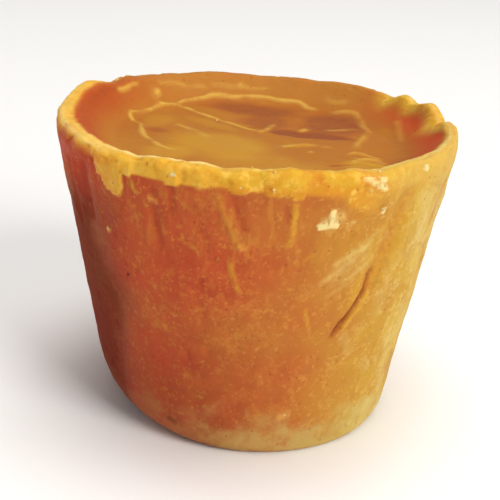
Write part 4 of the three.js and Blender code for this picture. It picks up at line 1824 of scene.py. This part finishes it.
@dataclass(frozen=True)
class Studio:
    """A pale floor, soft daylight from the right and the camera, with sizes in metres."""

    camera_back: float = 0.3333
    camera_height: float = 0.1817
    camera_roll: float = 3.7
    lens: float = 79.0
    floor_half: float = 4.0
    floor_dark: Colour = (243, 242, 240)
    floor_light: Colour = (247, 246, 244)
    room_light: float = 0.34
    cove_light: float = 1.0

    def set_camera(self) -> None:
        """Stands the camera in front of the block, looking down on it."""
        low, high = CAD_BOX
        middle = (low + high) / 2
        camera = bpy.data.objects.new("camera", bpy.data.cameras.new("camera"))
        camera.data.lens = self.lens
        camera.data.sensor_width = 36.0
        camera.data.clip_start = 0.01
        camera.location = (middle.x, middle.y - self.camera_back, low.z + self.camera_height)
        look = (middle - Vector(camera.location)).to_track_quat("-Z", "Y").to_matrix().to_4x4()
        roll = Matrix.Rotation(math.radians(self.camera_roll), 4, "Z")
        camera.matrix_world = Matrix.Translation(camera.location) @ look @ roll
        bpy.context.scene.collection.objects.link(camera)
        bpy.context.scene.camera = camera

    def add_light(self, name: str, place: tuple[float, float, float], size: float, power: float,
                  colour: Colour) -> None:
        """Hangs one soft box that faces the block.

        Args:
            name: The light's name.
            place: Where it hangs.
            size: Its side.
            power: Its power in watts.
            colour: Its linear colour.
        """
        light = bpy.data.lights.new(name, "AREA")
        light.size, light.energy, light.color = size, power, colour
        lamp = bpy.data.objects.new(name, light)
        lamp.location = place
        lamp.rotation_mode = "QUATERNION"
        lamp.rotation_quaternion = (Vector((0, 0, 0.05)) - Vector(place)).to_track_quat("-Z", "Y")
        bpy.context.scene.collection.objects.link(lamp)

    def add_floor(self) -> None:
        """Lays the floor at the block's foot."""
        level = CAD_BOX[0].z
        half = self.floor_half
        corners = [(-half, -half, level), (half, -half, level), (half, half, level), (-half, half, level)]
        mesh = bpy.data.meshes.new("floor")
        mesh.from_pydata(corners, [], [(0, 1, 2, 3)])
        material, graph, shader = new_material("pale_floor", {"Roughness": 0.7})
        place = graph.add("ShaderNodeTexCoord").outputs["Object"]
        tone = graph.noise(place, 3.0, detail=2.0)
        graph.feed(shader.inputs["Base Color"], graph.blend(tone, self.floor_dark, self.floor_light))
        mesh.materials.append(material)
        floor = bpy.data.objects.new("floor", mesh)
        bpy.context.scene.collection.objects.link(floor)

    def set_world(self) -> None:
        """Fills the room with even white light, brighter along the horizon like a pale cove."""
        world = bpy.data.worlds.new("room")
        world.use_nodes = True
        world.node_tree.nodes.clear()
        graph = Graph(world.node_tree)
        direction = graph.add("ShaderNodeTexCoord").outputs["Generated"]
        height = graph.add("ShaderNodeSeparateXYZ", {0: direction}).outputs[2]
        strength = graph.remap(height, 0.02, 0.2, self.cove_light, self.room_light)
        inputs = {"Color": (1.0, 0.995, 0.985, 1.0), "Strength": strength}
        background = graph.add("ShaderNodeBackground", inputs)
        graph.add("ShaderNodeOutputWorld", {"Surface": background.outputs[0]})
        bpy.context.scene.world = world
        bpy.context.scene.view_settings.view_transform = "Standard"

    def build(self) -> None:
        """Sets up the whole studio but the camera."""
        self.set_world()
        self.add_floor()
        self.add_light("key_right", (1.6, -1.6, 1.5), 1.2, 50.0, (1.0, 0.98, 0.95))
        self.add_light("top_soft", (0.2, 0.1, 2.4), 1.4, 34.0, (1.0, 0.99, 0.98))


# ---- Assembly ----------------------------------------------------------------------------------------


def report_piece(piece: bpy.types.Object) -> None:
    """Logs a piece's name and size."""
    triangles = sum(len(polygon.vertices) - 2 for polygon in piece.data.polygons)
    LOG.info("%s: %d triangles, %.1f x %.1f x %.1f mm", piece.name, triangles, *(piece.dimensions / MM))


def main() -> None:
    """Builds the block, its stuck sugar and the studio."""
    logging.basicConfig(level=logging.INFO, format="%(name)s: %(message)s")
    studio = Studio()
    studio.set_camera()
    grain_group = make_sugar_grain_group()
    bloom_group = make_bloom_group()

    block = CastBlock()
    mesh, places = block.mesh("cast_block")
    mesh.materials.append(JaggeryFinish().build(grain_group, bloom_group))
    piece = bpy.data.objects.new("cast_block", mesh)
    bpy.context.scene.collection.objects.link(piece)
    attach(piece, BODY)
    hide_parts(NODE)
    report_piece(piece)

    cream = CrumbFinish("cream_sugar", (214, 188, 124), (204, 164, 88)).build(grain_group)
    yellow = CrumbFinish("yellow_sugar", (212, 164, 80), (204, 136, 48)).build(grain_group)
    for sugar in StuckSugar().build(block, mesh, places, cream, yellow):
        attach(sugar, BODY)
        report_piece(sugar)

    studio.build()


if __name__ == "__main__":
    main()
